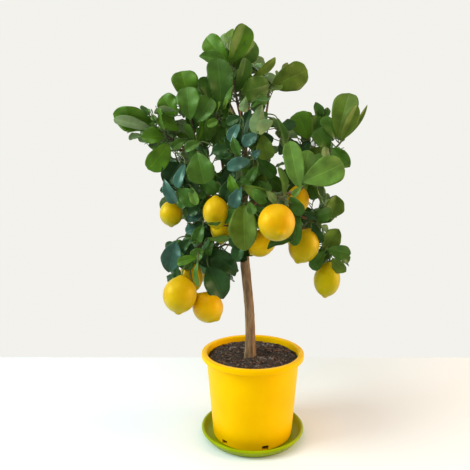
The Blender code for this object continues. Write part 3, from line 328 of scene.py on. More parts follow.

# Leaves set one by one, by mass: base and tip as the front view shows them in its pixels, depth of the base,
# how much farther back the tip is, width in pixels, how far the face is turned from the viewer round its
# length (beyond 90 its underside shows), how far it is folded, and its tint
Set = namedtuple('Set', 'mass base_x base_y tip_x tip_y depth back wide turn fold tint')
SET_LEAVES = tuple(Set('foliage_' + mass, *row) for mass, rows in (
    ('top', (
        (229, 63, 246, 25, -0.008, 0.012, 21, 22, 0.32, 'bright'),
        (229, 62, 206, 37.5, -0.004, 0.010, 20, -15, 0.26, 'bright'),
        (226, 62, 199, 56, -0.012, -0.006, 13, 25, 0.36, 'mid'),
        (232, 67, 256, 43, 0.012, 0.010, 19, 20, 0.32, 'mid'),
        (235, 92, 246, 58, -0.006, 0.000, 13, 35, 0.30, 'mid'),
    )),
    ('plume', (
        (221, 111, 217, 58, -0.040, 0.006, 26, 8, 0.20, 'deep'),
        (233, 86, 228, 122, -0.054, 0.000, 8, 50, 0.30, 'mid'),
    )),
    ('top_right', (
        (252, 77, 275.5, 57.5, -0.014, 0.004, 9, 25, 0.36, 'olive'),
        (256, 79, 269, 74, 0.006, 0.000, 4, 76, 0.20, 'deep'),
    )),
    ('high_leaf', (
        (269, 84, 242, 92, 0.004, -0.030, 26, -10, 0.20, 'mid'),
        (272, 86, 307.5, 70, 0.016, 0.000, 27, 6, 0.10, 'olive'),
    )),
    ('crest_left', (
        (208, 99, 203, 76.5, -0.030, 0.000, 14, 20, 0.25, 'deep'),
        (198, 122, 211, 98, -0.052, 0.000, 22, -18, 0.30, 'mid'),
        (207, 139, 213, 118, -0.058, 0.000, 15, 30, 0.20, 'mid'),
        (197, 142, 201, 121, -0.070, 0.000, 6, 45, 0.30, 'bright'),
        (218, 120, 207, 126, -0.070, -0.004, 9, 20, 0.20, 'bright'),
    )),
    ('upper_left', (
        (188, 103, 181.5, 71, -0.036, 0.000, 26, 8, 0.20, 'bright'),
        (190, 120, 187, 87, -0.056, 0.006, 23, -5, 0.24, 'mid'),
        (176, 115, 162, 96, -0.040, 0.004, 20, -12, 0.25, 'bright'),
        (177, 111, 154, 113, -0.056, -0.006, 5, 118, 0.25, 'grey'),
        (180, 131, 157, 118, -0.044, -0.006, 14, 20, 0.25, 'bright'),
        (194, 142, 184, 124, -0.062, 0.000, 8, 30, 0.25, 'mid'),
    )),
    ('far_left', (
        (152, 121, 113, 113.5, -0.046, -0.012, 24, -8, 0.40, 'bright'),
        # This pale grey-green leaf lies in front of the lower half of the leaf above: a painted sheen where
        # that half catches the light from above
        (151, 129, 113.5, 119.5, -0.058, -0.012, 12, 20, 0.20, 'grey'),
        (143, 135.5, 128.5, 138.5, -0.050, -0.010, 6, 140, 0.20, 'grey'),
        (164, 137, 141, 137, -0.056, -0.012, 16, 10, 0.50, 'bright'),
        (145, 131, 127, 133, -0.036, -0.008, 4, 70, 0.20, 'deep'),
        (186, 140, 171.5, 149, -0.050, -0.004, 10, 20, 0.20, 'mid'),
    )),
    ('left_down', (
        (169.5, 144, 148, 169.5, -0.072, -0.010, 21, -5, 0.15, 'bright'),
        (180, 163, 166, 186, -0.070, -0.004, 21, 10, 0.40, 'shade'),
        (185, 164, 177, 188, -0.084, -0.006, 10, 25, 0.15, 'blue'),
    )),
    ('mid_left', (
        (164, 179, 175.5, 203.5, -0.078, -0.004, 12, 20, 0.30, 'blue'),
        (177, 189, 199, 203, -0.086, -0.006, 17, 10, 0.30, 'deep'),
        (191, 187, 197, 205, -0.092, -0.004, 9, 20, 0.25, 'light'),
        (182, 183, 168, 195, -0.070, 0.000, 11, 20, 0.25, 'dark'),
    )),
    ('left_inner', (
        (197, 152, 205, 184, -0.094, -0.008, 28, 5, 0.26, 'mid'),
        (204, 180, 219, 191, -0.080, -0.004, 15, 15, 0.30, 'deep'),
        (217, 176, 226, 185, -0.070, -0.002, 5, 40, 0.20, 'dark'),
        (200, 142, 185, 151, -0.080, -0.004, 10, 20, 0.20, 'mid'),
        (184, 178, 200, 193, -0.076, 0.000, 14, 30, 0.30, 'dark'),
    )),
    ('high_centre', (
        (246, 97, 243, 112, -0.092, -0.004, 9, 165, 0.20, 'grey'),
        (262, 104, 256, 134, -0.090, -0.006, 14, 160, 0.20, 'light'),
        (251, 109, 241, 143, -0.074, -0.002, 13, 30, 0.30, 'shade'),
    )),
    ('centre_right', (
        (273, 121, 257, 132, -0.098, -0.006, 13, 160, 0.20, 'grey'),
        (276.5, 117, 284.5, 150, -0.064, -0.004, 8, -50, 0.36, 'deep'),
        (262, 134, 268, 160, -0.078, -0.006, 18, 8, 0.20, 'olive'),
        (257, 158, 275, 177, -0.070, -0.004, 17, 15, 0.25, 'deep'),
        (284, 197, 278.5, 167, -0.100, 0.000, 8, 40, 0.25, 'light'),
    )),
    ('centre', (
        (257, 134, 243, 146, -0.110, -0.004, 12, 20, 0.15, 'blue'),
        (241, 117, 227, 124, -0.092, -0.002, 10, 20, 0.25, 'dark'),
        (239, 124, 230, 142, -0.100, -0.002, 11, 25, 0.25, 'blue'),
        (233, 137, 240, 156, -0.106, -0.004, 10, 20, 0.40, 'deep'),
        (228, 149, 212, 152, -0.094, -0.004, 12, 15, 0.25, 'dark'),
        (250, 160, 227, 169, -0.112, -0.006, 13, 10, 0.20, 'blue'),
        (260, 150, 252, 159, -0.090, -0.002, 8, 20, 0.20, 'blue'),
        (258, 166, 249, 181, -0.096, -0.004, 10, 20, 0.25, 'deep'),
    )),
    ('front_left', (
        (230, 175, 237, 193, -0.108, -0.004, 11, 20, 0.30, 'bright'),
        (241, 186, 233, 208, -0.116, -0.004, 13, 15, 0.20, 'blue'),
        (243, 186, 269, 198, -0.112, -0.004, 14, 10, 0.25, 'olive'),
        (243.5, 204, 245, 251, -0.120, -0.010, 28, 4, 0.36, 'olive'),
        (236, 206, 225, 224, -0.118, -0.004, 9, 35, 0.25, 'deep'),
        (205, 222, 221, 222, -0.136, -0.002, 4, 60, 0.15, 'mid'),
        (243, 241, 236.5, 262, -0.110, -0.004, 13, 15, 0.36, 'dark'),
    )),
    ('mid_left', (
        (201, 203, 189, 215, -0.070, -0.002, 12, 15, 0.25, 'dark'),
        (203, 213, 187, 220, -0.064, -0.002, 10, 20, 0.20, 'blue'),
    )),
    ('low_left', (
        (197, 228, 185.5, 232, -0.070, -0.004, 10, 20, 0.25, 'blue'),
        (203, 225, 196, 244, -0.078, -0.004, 12, 20, 0.30, 'deep'),
        (207, 238, 231, 237, -0.084, -0.004, 6, 45, 0.25, 'light'),
        (176, 241, 168.5, 272.5, -0.086, -0.008, 20, 6, 0.36, 'blue'),
        (190, 240, 180, 252, -0.082, -0.004, 13, 15, 0.30, 'dark'),
        (192, 243, 187, 258, -0.092, -0.004, 10, -25, 0.30, 'shade'),
        (204, 249, 192, 260, -0.098, -0.004, 13, 12, 0.26, 'mid'),
        (197, 258, 177, 264, -0.104, -0.004, 9, 30, 0.25, 'bright'),
        (198, 261, 198.5, 287, -0.146, -0.006, 5, 45, 0.20, 'mid'),
    )),
    ('low_inner', (
        (211, 251, 238, 272, -0.060, -0.006, 22, 8, 0.36, 'dark'),
        (208, 266, 223.5, 299, -0.086, -0.008, 26, -6, 0.36, 'dark'),
        (231, 259, 238.5, 271.5, -0.050, -0.002, 5, 40, 0.20, 'olive'),
        (213, 240, 207, 256, -0.062, -0.002, 9, 20, 0.25, 'deep'),
    )),
    ('right_top', (
        (338, 139, 349.5, 93, -0.044, 0.000, 25, -8, 0.22, 'olive'),
        (341, 140.5, 357.5, 105, -0.069, -0.006, 13, 15, 0.36, 'olive'),
        (345, 138, 367.5, 104.5, -0.057, -0.003, 5, 20, 0.36, 'olive'),
        (336, 138, 322.5, 117, -0.036, 0.000, 13, 20, 0.20, 'mid'),
        (332, 148, 350, 167, -0.060, -0.006, 16, 12, 0.45, 'mid'),
    )),
    ('right_inner', (
        (309, 139, 296.5, 112.5, -0.020, -0.004, 23, 6, 0.12, 'bright'),
        (308, 122, 308, 111.5, -0.010, 0.000, 6, 40, 0.25, 'olive'),
        (313, 139, 317, 115, -0.012, 0.000, 13, 20, 0.20, 'mid'),
        (321, 122, 315.5, 102, 0.000, 0.000, 10, 20, 0.40, 'deep'),
        (322, 119, 328, 107.5, -0.004, 0.000, 7, 20, 0.36, 'deep'),
        (329, 150, 315, 130, -0.030, -0.004, 18, 10, 0.20, 'mid'),
        (298, 138, 286, 133, -0.024, -0.004, 8, 150, 0.20, 'grey'),
        (310, 141, 302, 152, -0.016, -0.002, 9, 30, 0.30, 'dark'),
    )),
    ('front_right', (
        (299.5, 188, 289.5, 141, -0.130, 0.000, 20, -10, 0.20, 'light'),
        (300.5, 188, 309, 150, -0.124, 0.000, 19, -6, 0.12, 'light'),
        (301.5, 187, 293, 197, -0.142, -0.002, 7, 15, 0.25, 'light'),
        (302, 182, 343.5, 163.5, -0.136, -0.004, 29, 5, 0.18, 'light'),
    )),
    ('low_right', (
        (309, 184, 316.5, 199, -0.074, -0.004, 11, 15, 0.30, 'deep'),
        (320, 180, 322, 196, -0.074, -0.004, 8, 30, 0.25, 'grey'),
        (316, 185, 323.5, 204, -0.092, -0.004, 3, 70, 0.20, 'deep'),
        (331, 218, 336, 195, -0.070, 0.000, 18, 15, 0.36, 'olive'),
        (312, 217, 332, 211, -0.076, -0.002, 14, 15, 0.30, 'deep'),
        (306, 212, 317, 218, -0.080, -0.002, 8, 30, 0.25, 'dark'),
    )),
    ('pendant', (
        (323, 248, 339, 229, -0.062, 0.000, 18, 12, 0.36, 'olive'),
        (313, 223, 322, 243, -0.080, -0.004, 10, 20, 0.30, 'dark'),
        (327, 249, 351, 253.5, -0.070, -0.002, 15, 15, 0.36, 'mid'),
        (332, 258, 346, 272, -0.072, -0.002, 12, 15, 0.36, 'olive'),
        (325, 251, 312.5, 270, -0.076, -0.004, 13, 12, 0.30, 'deep'),
    )),
    ('front', (
        (290, 197, 302, 215, -0.116, -0.004, 14, 15, 0.25, 'deep'),
        (298, 212, 294, 246, -0.110, -0.004, 14, 15, 0.25, 'deep'),
        (292, 241, 267, 249, -0.120, -0.006, 9, 50, 0.36, 'deep'),
        (253, 189, 268, 202, -0.120, -0.004, 12, 20, 0.25, 'mid'),
    )),
    ('front_left', (
        (232, 178, 223, 204, -0.092, -0.004, 14, 10, 0.25, 'dark'),
    )),
    ('mid_left', (
        (208, 181, 200, 199, -0.066, -0.004, 11, 15, 0.25, 'deep'),
    )),
    ('crest_left', (
        (207, 147, 202, 126, -0.040, 0.002, 16, 10, 0.25, 'deep'),
        (214, 147, 219, 124, -0.036, 0.002, 15, 10, 0.25, 'mid'),
    )),
    ('upper_left', (
        (195, 133, 189, 114, -0.026, 0.002, 12, 10, 0.25, 'deep'),
    )),
    ('centre_right', (
        (270, 175, 283, 190, -0.052, -0.002, 14, 10, 0.25, 'mid'),
    )),
    ('front_right', (
        (299, 187, 283, 170, -0.060, 0.004, 14, 10, 0.25, 'dark'),
    )),
    ('centre', (
        (236, 166, 224, 184, -0.060, 0.000, 13, 10, 0.25, 'dark'),
    )),
) for row in rows)

# Tints of the leaves' upper faces with their roughness, and of the underside; how much lighter a midrib
# is, and the depth of the mottle
TINTS = {
    # 'bright' is partly the young leaves' own yellow-green and partly painted light from above
    'bright': ((63, 99, 16), 0.42), 'olive': ((78, 101, 26), 0.46), 'mid': ((60, 94, 26), 0.42),
    # 'shade' is painted shade: a near-black green for leaves that sit deep in the crown's shade
    'deep': ((51, 85, 24), 0.40), 'dark': ((36, 66, 28), 0.34), 'shade': ((22, 48, 18), 0.40),
    # The blue-green tint is dark leaf green with a painted bluish reflection of the sky
    'blue': ((52, 87, 74), 0.28), 'light': ((86, 119, 42), 0.55), 'grey': ((100, 120, 76), 0.55),
}
UNDERSIDE = (112, 138, 88)
MIDRIB = 1.12
LEAF_MOTTLE = 0.24

# Tints that each mass's grown leaves are dealt; partly painted light and shade, as the high and outer
# masses get the lighter greens and the low and inner ones the darker
SPRAYS = {
    'top': ('bright', 'mid', 'olive'), 'plume': ('deep', 'mid', 'olive'), 'high_leaf': ('olive', 'mid'),
    'top_right': ('olive', 'mid', 'deep'), 'upper_left': ('bright', 'mid'), 'far_left': ('bright', 'mid'),
    'left_down': ('mid', 'deep'), 'left_inner': ('deep', 'olive', 'dark'), 'centre': ('dark', 'deep', 'mid'),
    'centre_right': ('deep', 'olive', 'dark'), 'crest_left': ('mid', 'deep'), 'high_centre': ('deep', 'mid'),
    'right_top': ('olive', 'mid'), 'right_inner': ('mid', 'bright', 'deep'), 'front_right': ('mid', 'olive'),
    'low_right': ('mid', 'deep'), 'pendant': ('mid', 'deep'), 'front': ('deep', 'dark'),
    'front_left': ('deep', 'dark', 'mid'), 'mid_left': ('dark', 'deep'), 'low_left': ('dark', 'deep'),
    'low_inner': ('dark', 'deep'), 'back': ('mid', 'deep', 'bright'), 'high_back': ('bright', 'mid', 'olive'),
    'back_left': ('mid', 'deep', 'olive'), 'back_right': ('mid', 'deep', 'bright'),
    'low_back_left': ('dark', 'deep', 'mid'), 'low_back_right': ('deep', 'mid', 'dark'),
}

# The crown's outline in the front view, in its pixels, and the gaps in it that show the sky: place and radius
OUTLINE = (
    (240, 23), (249, 27), (251, 36), (245, 43), (252, 41), (258, 50), (257, 60), (266, 58), (277, 56),
    (273, 63), (265, 72), (272, 78), (277, 68), (289, 58), (301, 61), (310, 75), (305, 83), (290, 88),
    (274, 89), (267, 104), (264, 116), (274, 116), (285, 122), (286, 140), (285, 129), (288, 118),
    (297, 111), (304, 115), (308, 110), (313, 117), (313, 102), (318, 101), (325, 110), (331, 111),
    (332, 104), (340, 94), (350, 92), (358, 95), (357, 104), (369, 103), (363, 116), (358, 126), (354, 132),
    (345, 141), (340, 147), (348, 148), (353, 160), (347, 169), (343, 166), (342, 173), (335, 181),
    (328, 184), (327, 194), (324, 205), (320, 201), (317, 200), (309, 198), (307, 207), (311, 209),
    (322, 204), (328, 207), (326, 194), (343, 197), (343, 211), (337, 220), (326, 223), (331, 227),
    (342, 229), (337, 243), (346, 243), (352, 257), (349, 273), (342, 271), (341, 285), (328, 300),
    (318, 293), (312, 278), (310, 268), (313, 259), (305, 263), (297, 264), (289, 253), (275, 251),
    (262, 252), (255, 255), (247, 262), (240, 263), (239, 272), (233, 285), (224, 299), (223, 320),
    (215, 326), (200, 324), (190, 316), (175, 315), (161, 300), (162, 285), (170, 273), (162, 257),
    (162, 246), (168, 240), (180, 239), (185, 235), (185, 222), (187, 207), (183, 205), (183, 218),
    (172, 228), (159, 212), (160, 200), (159, 185), (163, 178), (162, 165), (155, 172), (146, 168),
    (146, 160), (151, 150), (146, 144), (140, 142), (127, 139), (127, 131), (120, 130), (111, 117),
    (125, 105), (138, 101), (150, 109), (155, 119), (155, 104), (165, 95), (173, 96), (173, 85), (182, 71),
    (194, 77), (199, 83), (202, 75), (207, 76), (205, 62), (197, 56), (204, 50), (202, 41), (211, 35),
    (222, 37), (230, 27),
)
SKY_GAPS = (
    (236, 107, 4), (178, 117, 2), (174, 154, 5), (178, 149, 2), (217, 166, 6), (212, 158, 2), (244, 153, 5),
    (277, 158, 5), (272, 131, 3), (280, 170, 3), (246, 200, 3), (225, 248, 6), (204, 289, 4), (327, 129, 3),
    (337, 143, 3), (298, 139, 1), (313, 143, 2), (248, 109, 2), (168, 192, 1), (183, 144, 2), (235, 99, 4),
    (239, 113, 3), (276, 143, 3), (211, 148, 2),
)

# The front view: size of its cells, the spots that stand for a leaf set one by one and for a lemon, how many
# of them a grown leaf may hide and how far behind it they count, how near a twig's line passes one, and the
# lemons that show
CELL = 2.0
SPOT_SHARES = np.linspace(0.12, 0.92, 8)
SPOT_WIDTHS = np.linspace(-0.38, 0.38, 5)
SPOT_OUTS = (0.0, 0.12, 0.24, 0.36, 0.46)
SPOT_BEHIND = 0.004
HIDDEN_SPOTS = 2
TWIG_VIEW = 2.5
VIEW_SPOTS = (5, 1)
SHOWN_FRUIT = (1, 2, 4, 5, 6, 8, 9, 10, 11, 12)

# Fine leaf: its grid, its outline's range, its relief, and its stalk's share of its length
Leaf = namedtuple('Leaf', 'mass place length width fold arch droop petiole pointed tint')
LEAF_ROWS = 20
LEAF_COLUMNS = np.array((-1.0, -0.84, -0.56, -0.28, -0.025, 0.025, 0.28, 0.56, 0.84, 1.0))
LEAF_CORNERS = ((0.0, 0.0), (-0.9, 0.38), (-0.88, 0.78), (0.0, 1.0), (0.88, 0.78), (0.9, 0.38))
LEAF_RISE = (0.60, 0.86)
LEAF_FALL = (0.42, 0.58)
LEAF_POINTED = (0.70, 0.90)
LEAF_THIN = 0.015
LEAF_SWEEP = 0.20
LEAF_BLADE = 0.0006
BLADE_THINS = 0.6
LEAF_CREASE = 0.05
LEAF_QUILT = 0.0085
LEAF_WAVE = 0.12
WAVE_TURNS = (1.2, 2.2)
LEAF_TWIST = 0.25
LEAF_ODD = 0.10
LEAF_SCALLOP = 0.030
SCALLOP_TURNS = (1.6, 3.2)
SCALLOP_SHIFT = 0.37
RIB_DEPTH = 0.0005
RIB_THICK = 0.0006
RIB_THINS = 0.7
PETIOLE = 0.09
PETIOLE_RADIUS = 0.0009
PETIOLE_SEAT = 0.02
LONG_STALK = 0.05

# Stalks of leaves set one by one: places tried, what it costs to leave the leaf's line, the stalk's bend, how
# far it runs into the leaf, how much thicker a long one is, its steps and sides, and where it must hide
# nothing; then the spots on twigs and on a bough's outer part that a stalk may start from
STALK_TRIES = 60
OFF_LINE_COST = 0.9
STALK_LEAD = 0.3
STALK_SEAT = 0.002
STALK_STEPS = 6
STALK_SIDES = 6
STALK_SHARES = (0.0, 0.2, 0.4, 0.6)
STALK_SWELL = 0.7
TWIG_SPOTS = 24
BOUGH_SPOTS = (60, 25)

# Leaves set one by one: how much more they fold, the least width of one seen edge-on, the fold beyond which
# they are pointed, and their arches
FOLD_MORE = 1.35
EDGE_ON = 0.35
POINTED_FOLD = 0.35
SET_ARCH = (0.04, 0.10, 0.07, 0.12)

# Finer twigs within each mass's reach, in rounds: tries on each twig, the least number of open cells of the
# front view that a leaf has to fill, and the ranges of the twigs' and the leaves' lengths
ROUNDS = (
    (50, 0, (0.014, 0.046), (0.032, 0.060)),
    (8, 0, (0.014, 0.040), (0.030, 0.054)),
    (40, 12, (0.014, 0.060), (0.040, 0.070)),
    (40, 6, (0.010, 0.060), (0.028, 0.050)),
    (40, 3, (0.010, 0.060), (0.022, 0.036)),
)
FINER_RADIUS = 0.0011
FINER_TIP_SHARE = 0.8
FINER_STEPS = 5
FINER_SIDES = 6
FINER_LEAVES = 4
FINER_FIRST = 0.12
FINER_RUN = 0.86
FINER_LEAN = (35.0, 80.0)
FINER_RISE = 0.25
FINER_LEAF_FOOT = 0.3
FINER_LEAF_RUN = 0.6
FINER_SPREAD = math.radians(60.0)
BARE_SPOTS = (12, 2)
BARE_CLEAR = 0.006

# Finishes, with colours as on the screen: roughness, the mottle's noise (scale, detail and stretch), its
# stops (place and colour), relief (a noise, or None for the mottle's own, strength and height) and gloss
# (level and tint)
Finish = namedtuple('Finish', 'colour roughness grain stops relief gloss')
MOULDED = ((500.0, 2.0), 0.10, 0.0004)
FINISHES = {
    'twig_wood': Finish((74, 62, 40), 0.75, (260.0, 4.0),
                        ((0.3, (50, 42, 30)), (0.6, (84, 74, 48)), (0.8, (96, 100, 62))), None, None),
    'twig_green': Finish((72, 96, 34), 0.5, (200.0, 3.0),
                         ((0.3, (56, 78, 28)), (0.7, (92, 112, 44))), None, None),
    'bark_skin': Finish((118, 88, 58), 0.85, (9.0, 7.0, (22.0, 22.0, 4.0)),
                        ((0.30, (92, 70, 48)), (0.46, (128, 98, 68)), (0.60, (150, 118, 84)),
                         (0.75, (136, 130, 100))),
                        (None, 0.55, 0.0012), None),
    'pot_skin': Finish((246, 190, 0), 0.42, (14.0, 3.0),
                       ((0.3, (242, 184, 0)), (0.7, (249, 194, 0))), MOULDED, (0.10, (255, 214, 20))),
    'saucer_skin': Finish((144, 162, 8), 0.36, (16.0, 3.0),
                          ((0.3, (138, 155, 6)), (0.7, (150, 168, 10))), MOULDED, (0.14, (200, 214, 40))),
}
SOIL_COLOURS = {'soil_dark': (50, 38, 30), 'chip_brown': (92, 70, 54), 'chip_grey': (112, 100, 98),
                'chip_red': (98, 66, 50)}

# Lemons by ripeness and, for the amber ones, painted shade: the rind's two colours and the lemons that
# have them
RIPENESS_AND_SHADE = {
    'yellow': ((204, 166, 8), (192, 152, 6), (2, 3, 10, 11, 13)),
    'orange': ((222, 173, 4), (214, 156, 2), (4, 5, 6, 12)),
    # Amber is darker partly as painted shade: lemon 1 hangs in a leaf's shade
    'amber': ((192, 158, 6), (178, 148, 6), (1, 8)),
    'olive': ((186, 164, 4), (168, 154, 4), (9, 14)),
}
# The rind's darker olive green on its lower side, partly its own unripe green and partly painted shade, and
# how much of it the lowest side takes
RIND_GREEN_SHADE = (150, 148, 4)
RIND_GREEN_SHADE_SHARE = 0.85
RIND_GLOSS = (255, 220, 80)

# Stage: soft lamps (place, size, power and colour), the sky and how bright it is behind the camera, and the
# floor and where it ends
LIGHTS = (
    ('cool', (-1.6, -0.4, 1.2), 0.9, 31.0, (0.83, 1.0, 0.95)),
    ('top', (-0.5, -0.7, 2.0), 0.7, 9.0, (1.0, 0.99, 0.97)),
    ('warm', (1.6, -0.2, 0.8), 1.0, 23.0, (1.0, 0.71, 0.45)),
)
LIGHTS_AIM = Vector((-0.02, 0.0, 0.42))
SKY = (243, 242, 237)
SKY_FRONT = 0.6
SKY_FADE = (0.45, 0.85)
FLOOR = (232, 236, 240)
FLOOR_SIZE = 6.0
FLOOR_Z = -0.0004
FLOOR_BACK = 0.44


def linear(colour):
    """A colour given as 0 to 255 on the screen, in linear light."""
    parts = [part / 255.0 for part in colour]
    return tuple(part / 12.92 if part <= 0.04045 else ((part + 0.055) / 1.055) ** 2.4 for part in parts)


def scaled(colour, size):
    """A colour made darker or lighter."""
    return tuple(part * size for part in colour)


def arc(middle, radius, first, last, steps):
    """Points (radius, height) along a round edge, with its angles in degrees."""
    angles = [math.radians(first + (last - first) * step / steps) for step in range(steps + 1)]
    return [(middle[0] + radius * math.cos(angle), middle[1] + radius * math.sin(angle)) for angle in angles]


def circle(count):
    """The cosine and sine of each of count even steps round a circle."""
    angles = [2.0 * math.pi * step / count for step in range(count)]
    return [(math.cos(angle), math.sin(angle)) for angle in angles]


def wall_radius(height):
    """The pot's outer radius at a height under its lip."""
    share = (height - POT_FLOOR_Z) / (POT_TOP_Z - POT_FLOOR_Z)
    return POT_FOOT_RADIUS + (POT_WALL_TOP_RADIUS - POT_FOOT_RADIUS) * share


def blend_path(start, middle, end, steps):
    """Points on the curve that leaves start towards middle and arrives at end from it."""
    shares = [step / steps for step in range(steps + 1)]
    return [start * (1 - s) ** 2 + middle * 2 * s * (1 - s) + end * s * s for s in shares]


def taper(first, last, steps):
    """Radii that shrink evenly along a limb."""
    return [first + (last - first) * step / steps for step in range(steps + 1)]


def along(path, share):
    """The point at a share of a path's steps, and the path's direction there."""
    spot = min(share * (len(path) - 1), len(path) - 1.001)
    index = int(spot)
    step = path[index + 1] - path[index]
    return path[index] + step * (spot - index), step.normalized()


def spots_along(path, steps, first=0):
    """The points of a path at even shares, from the first of steps."""
    return [along(path, step / steps)[0] for step in range(first, steps + 1)]


def trunk_path():
    """The trunk's centre line: it leans to its fork with a slight sway."""
    path = []
    for ring in range(TRUNK_RINGS + 1):
        share = ring / TRUNK_RINGS
        spot = TRUNK_FOOT.lerp(TRUNK_FORK, share)
        spot.x += TRUNK_SWAY * math.sin(share * math.pi * TRUNK_SWAY_TURNS[0])
        spot.x += TRUNK_BEND * share * (1.0 - share)
        spot.y += TRUNK_SWAY * 0.5 * math.sin(share * math.pi * TRUNK_SWAY_TURNS[1])
        path.append(spot)
    lift = TRUNK_FORK - path[-1]
    return [spot + lift * (index / TRUNK_RINGS) for index, spot in enumerate(path)]


def limb_paths():
    """Each limb's centre line and radii, by name: the trunk first, then the boughs in their order."""
    limbs = {'trunk': (trunk_path(), taper(TRUNK_RADIUS, TRUNK_FORK_RADIUS, TRUNK_RINGS))}
    for name, parent, share, tip, foot_radius, tip_radius, arch, bow in BOUGHS:
        start, _ = along(limbs[parent][0], share)
        tip = Vector(tip)
        middle = (start + tip) / 2.0 + Vector((bow, 0.0, arch * (tip - start).length))
        radii = taper(foot_radius, tip_radius, BOUGH_RINGS)
        limbs[name] = (blend_path(start, middle, tip, BOUGH_RINGS), radii)
    return limbs


def stem_of(mass, limbs):
    """A mass's stem: it goes on from its bough's tip, just clear of it, and bends to its own end."""
    bough_path, bough_radii = limbs[mass.bough]
    _, direction = along(bough_path, 1.0)
    start = bough_path[-1] + direction * GAP
    seat = start + direction * STEM_SEAT
    end = Vector(mass.end)
    middle = seat + direction * (end - seat).length * STEM_LEAD
    path = [start] + blend_path(seat, middle, end, STEM_RINGS)
    return path, [bough_radii[-1]] + taper(bough_radii[-1], TWIG_TIP_RADIUS, STEM_RINGS)


def stalk_of(lemon, path):
    """The stalk from a stem to a lemon's neck: its path and radii."""
    middle, aim, _, length = FRUIT[lemon]
    aim = Vector(aim).normalized()
    neck = Vector(middle) - aim * length * FRUIT_NECK
    root = min(path[1:], key=lambda spot: (spot - neck).length)
    bend = neck - aim * STALK_BEND * (root - neck).length
    return blend_path(root, bend, neck, STEM_RINGS), taper(TWIG_RADIUS, STALK_RADIUS, STEM_RINGS)


def limb_guard(path, radii, sides):
    """A limb's guard: a closed round tube, fatter by the clearance, as an edit mesh."""
    curve = bpy.data.curves.new('limb', 'CURVE')
    curve.dimensions = '3D'
    curve.bevel_depth = 1.0
    curve.bevel_resolution = (sides - 4) // 2
    curve.use_fill_caps = True
    spline = curve.splines.new('POLY')
    spline.points.add(len(path) - 1)
    for point, spot, radius in zip(spline.points, path, radii):
        point.co = (*spot, 1.0)
        point.radius = radius + CLEARANCE
    guide = bpy.data.objects.new('limb', curve)
    bpy.context.scene.collection.objects.link(guide)
    mesh = bpy.data.meshes.new_from_object(guide.evaluated_get(bpy.context.evaluated_depsgraph_get()))
    bpy.data.objects.remove(guide)
    bpy.data.curves.remove(curve)
    shape = bmesh.new()
    shape.from_mesh(mesh)
    bpy.data.meshes.remove(mesh)
    bmesh.ops.remove_doubles(shape, verts=shape.verts, dist=MERGE)
    bmesh.ops.recalc_face_normals(shape, faces=shape.faces)
    return shape


def lemon_guard(lemon):
    """A lemon's guard: a coarse ball drawn out to a neck and a tip, fatter by the clearance."""
    middle, aim, width, length = FRUIT[lemon]
    shape = bmesh.new()
    bmesh.ops.create_uvsphere(shape, u_segments=FRUIT_SIDES, v_segments=FRUIT_RINGS, radius=1.0)
    for vert in shape.verts:
        height = vert.co.z
        slope = max(0.0, abs(height) - FRUIT_SHOULDER) / (1.0 - FRUIT_SHOULDER)
        pinch = (1.0 - FRUIT_PINCH * slope) * (width / 2.0 + CLEARANCE)
        stretch = 1.0 if abs(height) < 0.99 else FRUIT_POINT
        tall = stretch * length / (2.0 * FRUIT_POINT) + CLEARANCE
        vert.co = (vert.co.x * pinch, vert.co.y * pinch, height * tall)
    turn = Vector(aim).normalized().to_track_quat('Z', 'Y').to_matrix().to_4x4()
    bmesh.ops.transform(shape, matrix=Matrix.Translation(middle) @ turn, verts=shape.verts)
    return shape


def leaf_guard(length, place):
    """A leaf's guard: the solids' leaf, folded along its midrib and arched, with its root at its place."""
    half = LEAF_WIDTH * length / 2.0
    thick = LEAF_THICKNESS * length / 2.0
    shape = bmesh.new()
    rim = []
    for across, share in LEAF_OUTLINE:
        lift = LEAF_FOLD * abs(across) * half - LEAF_DROOP * length * share * share
        rim.append(shape.verts.new((across * half, share * length, lift)))
    roots = [shape.verts.new((0.0, -LEAF_ROOT, side * LEAF_ROOT_HALF)) for side in (1.0, -1.0)]
    sag = -LEAF_DROOP * length * LEAF_MIDDLE ** 2
    for side, root in zip((1.0, -1.0), roots):
        rib = shape.verts.new((0.0, LEAF_MIDDLE * length, sag + side * thick))
        for first, second in zip([root] + rim, rim + [root]):
            shape.faces.new((first, second, rib))
    shape.faces.new((roots[0], roots[1], rim[0]))
    shape.faces.new((roots[0], roots[1], rim[-1]))
    bmesh.ops.recalc_face_normals(shape, faces=shape.faces)
    bmesh.ops.transform(shape, matrix=place, verts=shape.verts)
    return shape


def searched(shape):
    """A search tree over an edit mesh's faces, in place of the edit mesh."""
    faces = BVHTree.FromBMesh(shape)
    shape.free()
    return faces


def turned_to(base, aim, face):
    """The place of a leaf: its base, with its length along aim and its upper face to face."""
    return Matrix.Translation(base) @ Matrix((aim.cross(face), aim, face)).transposed().to_4x4()


def leaf_place(root, aim, roll):
    """A grown leaf's place: its length lies along aim and its upper face turns to the light and outwards."""
    aim = aim.normalized()
    back = root.y > CROWN_MIDDLE[1]
    sideways = (root.x - CROWN_MIDDLE[0]) * (1.0 if back else FRONT_BIAS)
    face = Vector((sideways, root.y - CROWN_MIDDLE[1], 0.0)).normalized() + Vector((0.0, 0.0, LIGHT_RISE))
    face = face - aim * face.dot(aim)
    return turned_to(root, aim, Matrix.Rotation(roll, 3, aim) @ face.normalized())


def spread_from(direction, turn, angle):
    """A direction that stands off another by angle, turned round it."""
    side = direction.cross(Vector((0.0, 1.0, 0.1))).normalized()
    side = Matrix.Rotation(turn, 3, direction) @ side
    return (direction * math.cos(angle) + side * math.sin(angle)).normalized()


def twig_path(root, out, reach, rise):
    """A side twig's line, which leaves its root along out and turns up a little."""
    tip = root + out * reach + Vector((0.0, 0.0, rise * reach))
    return blend_path(root, root + out * reach * 0.5, tip, TWIG_RINGS)


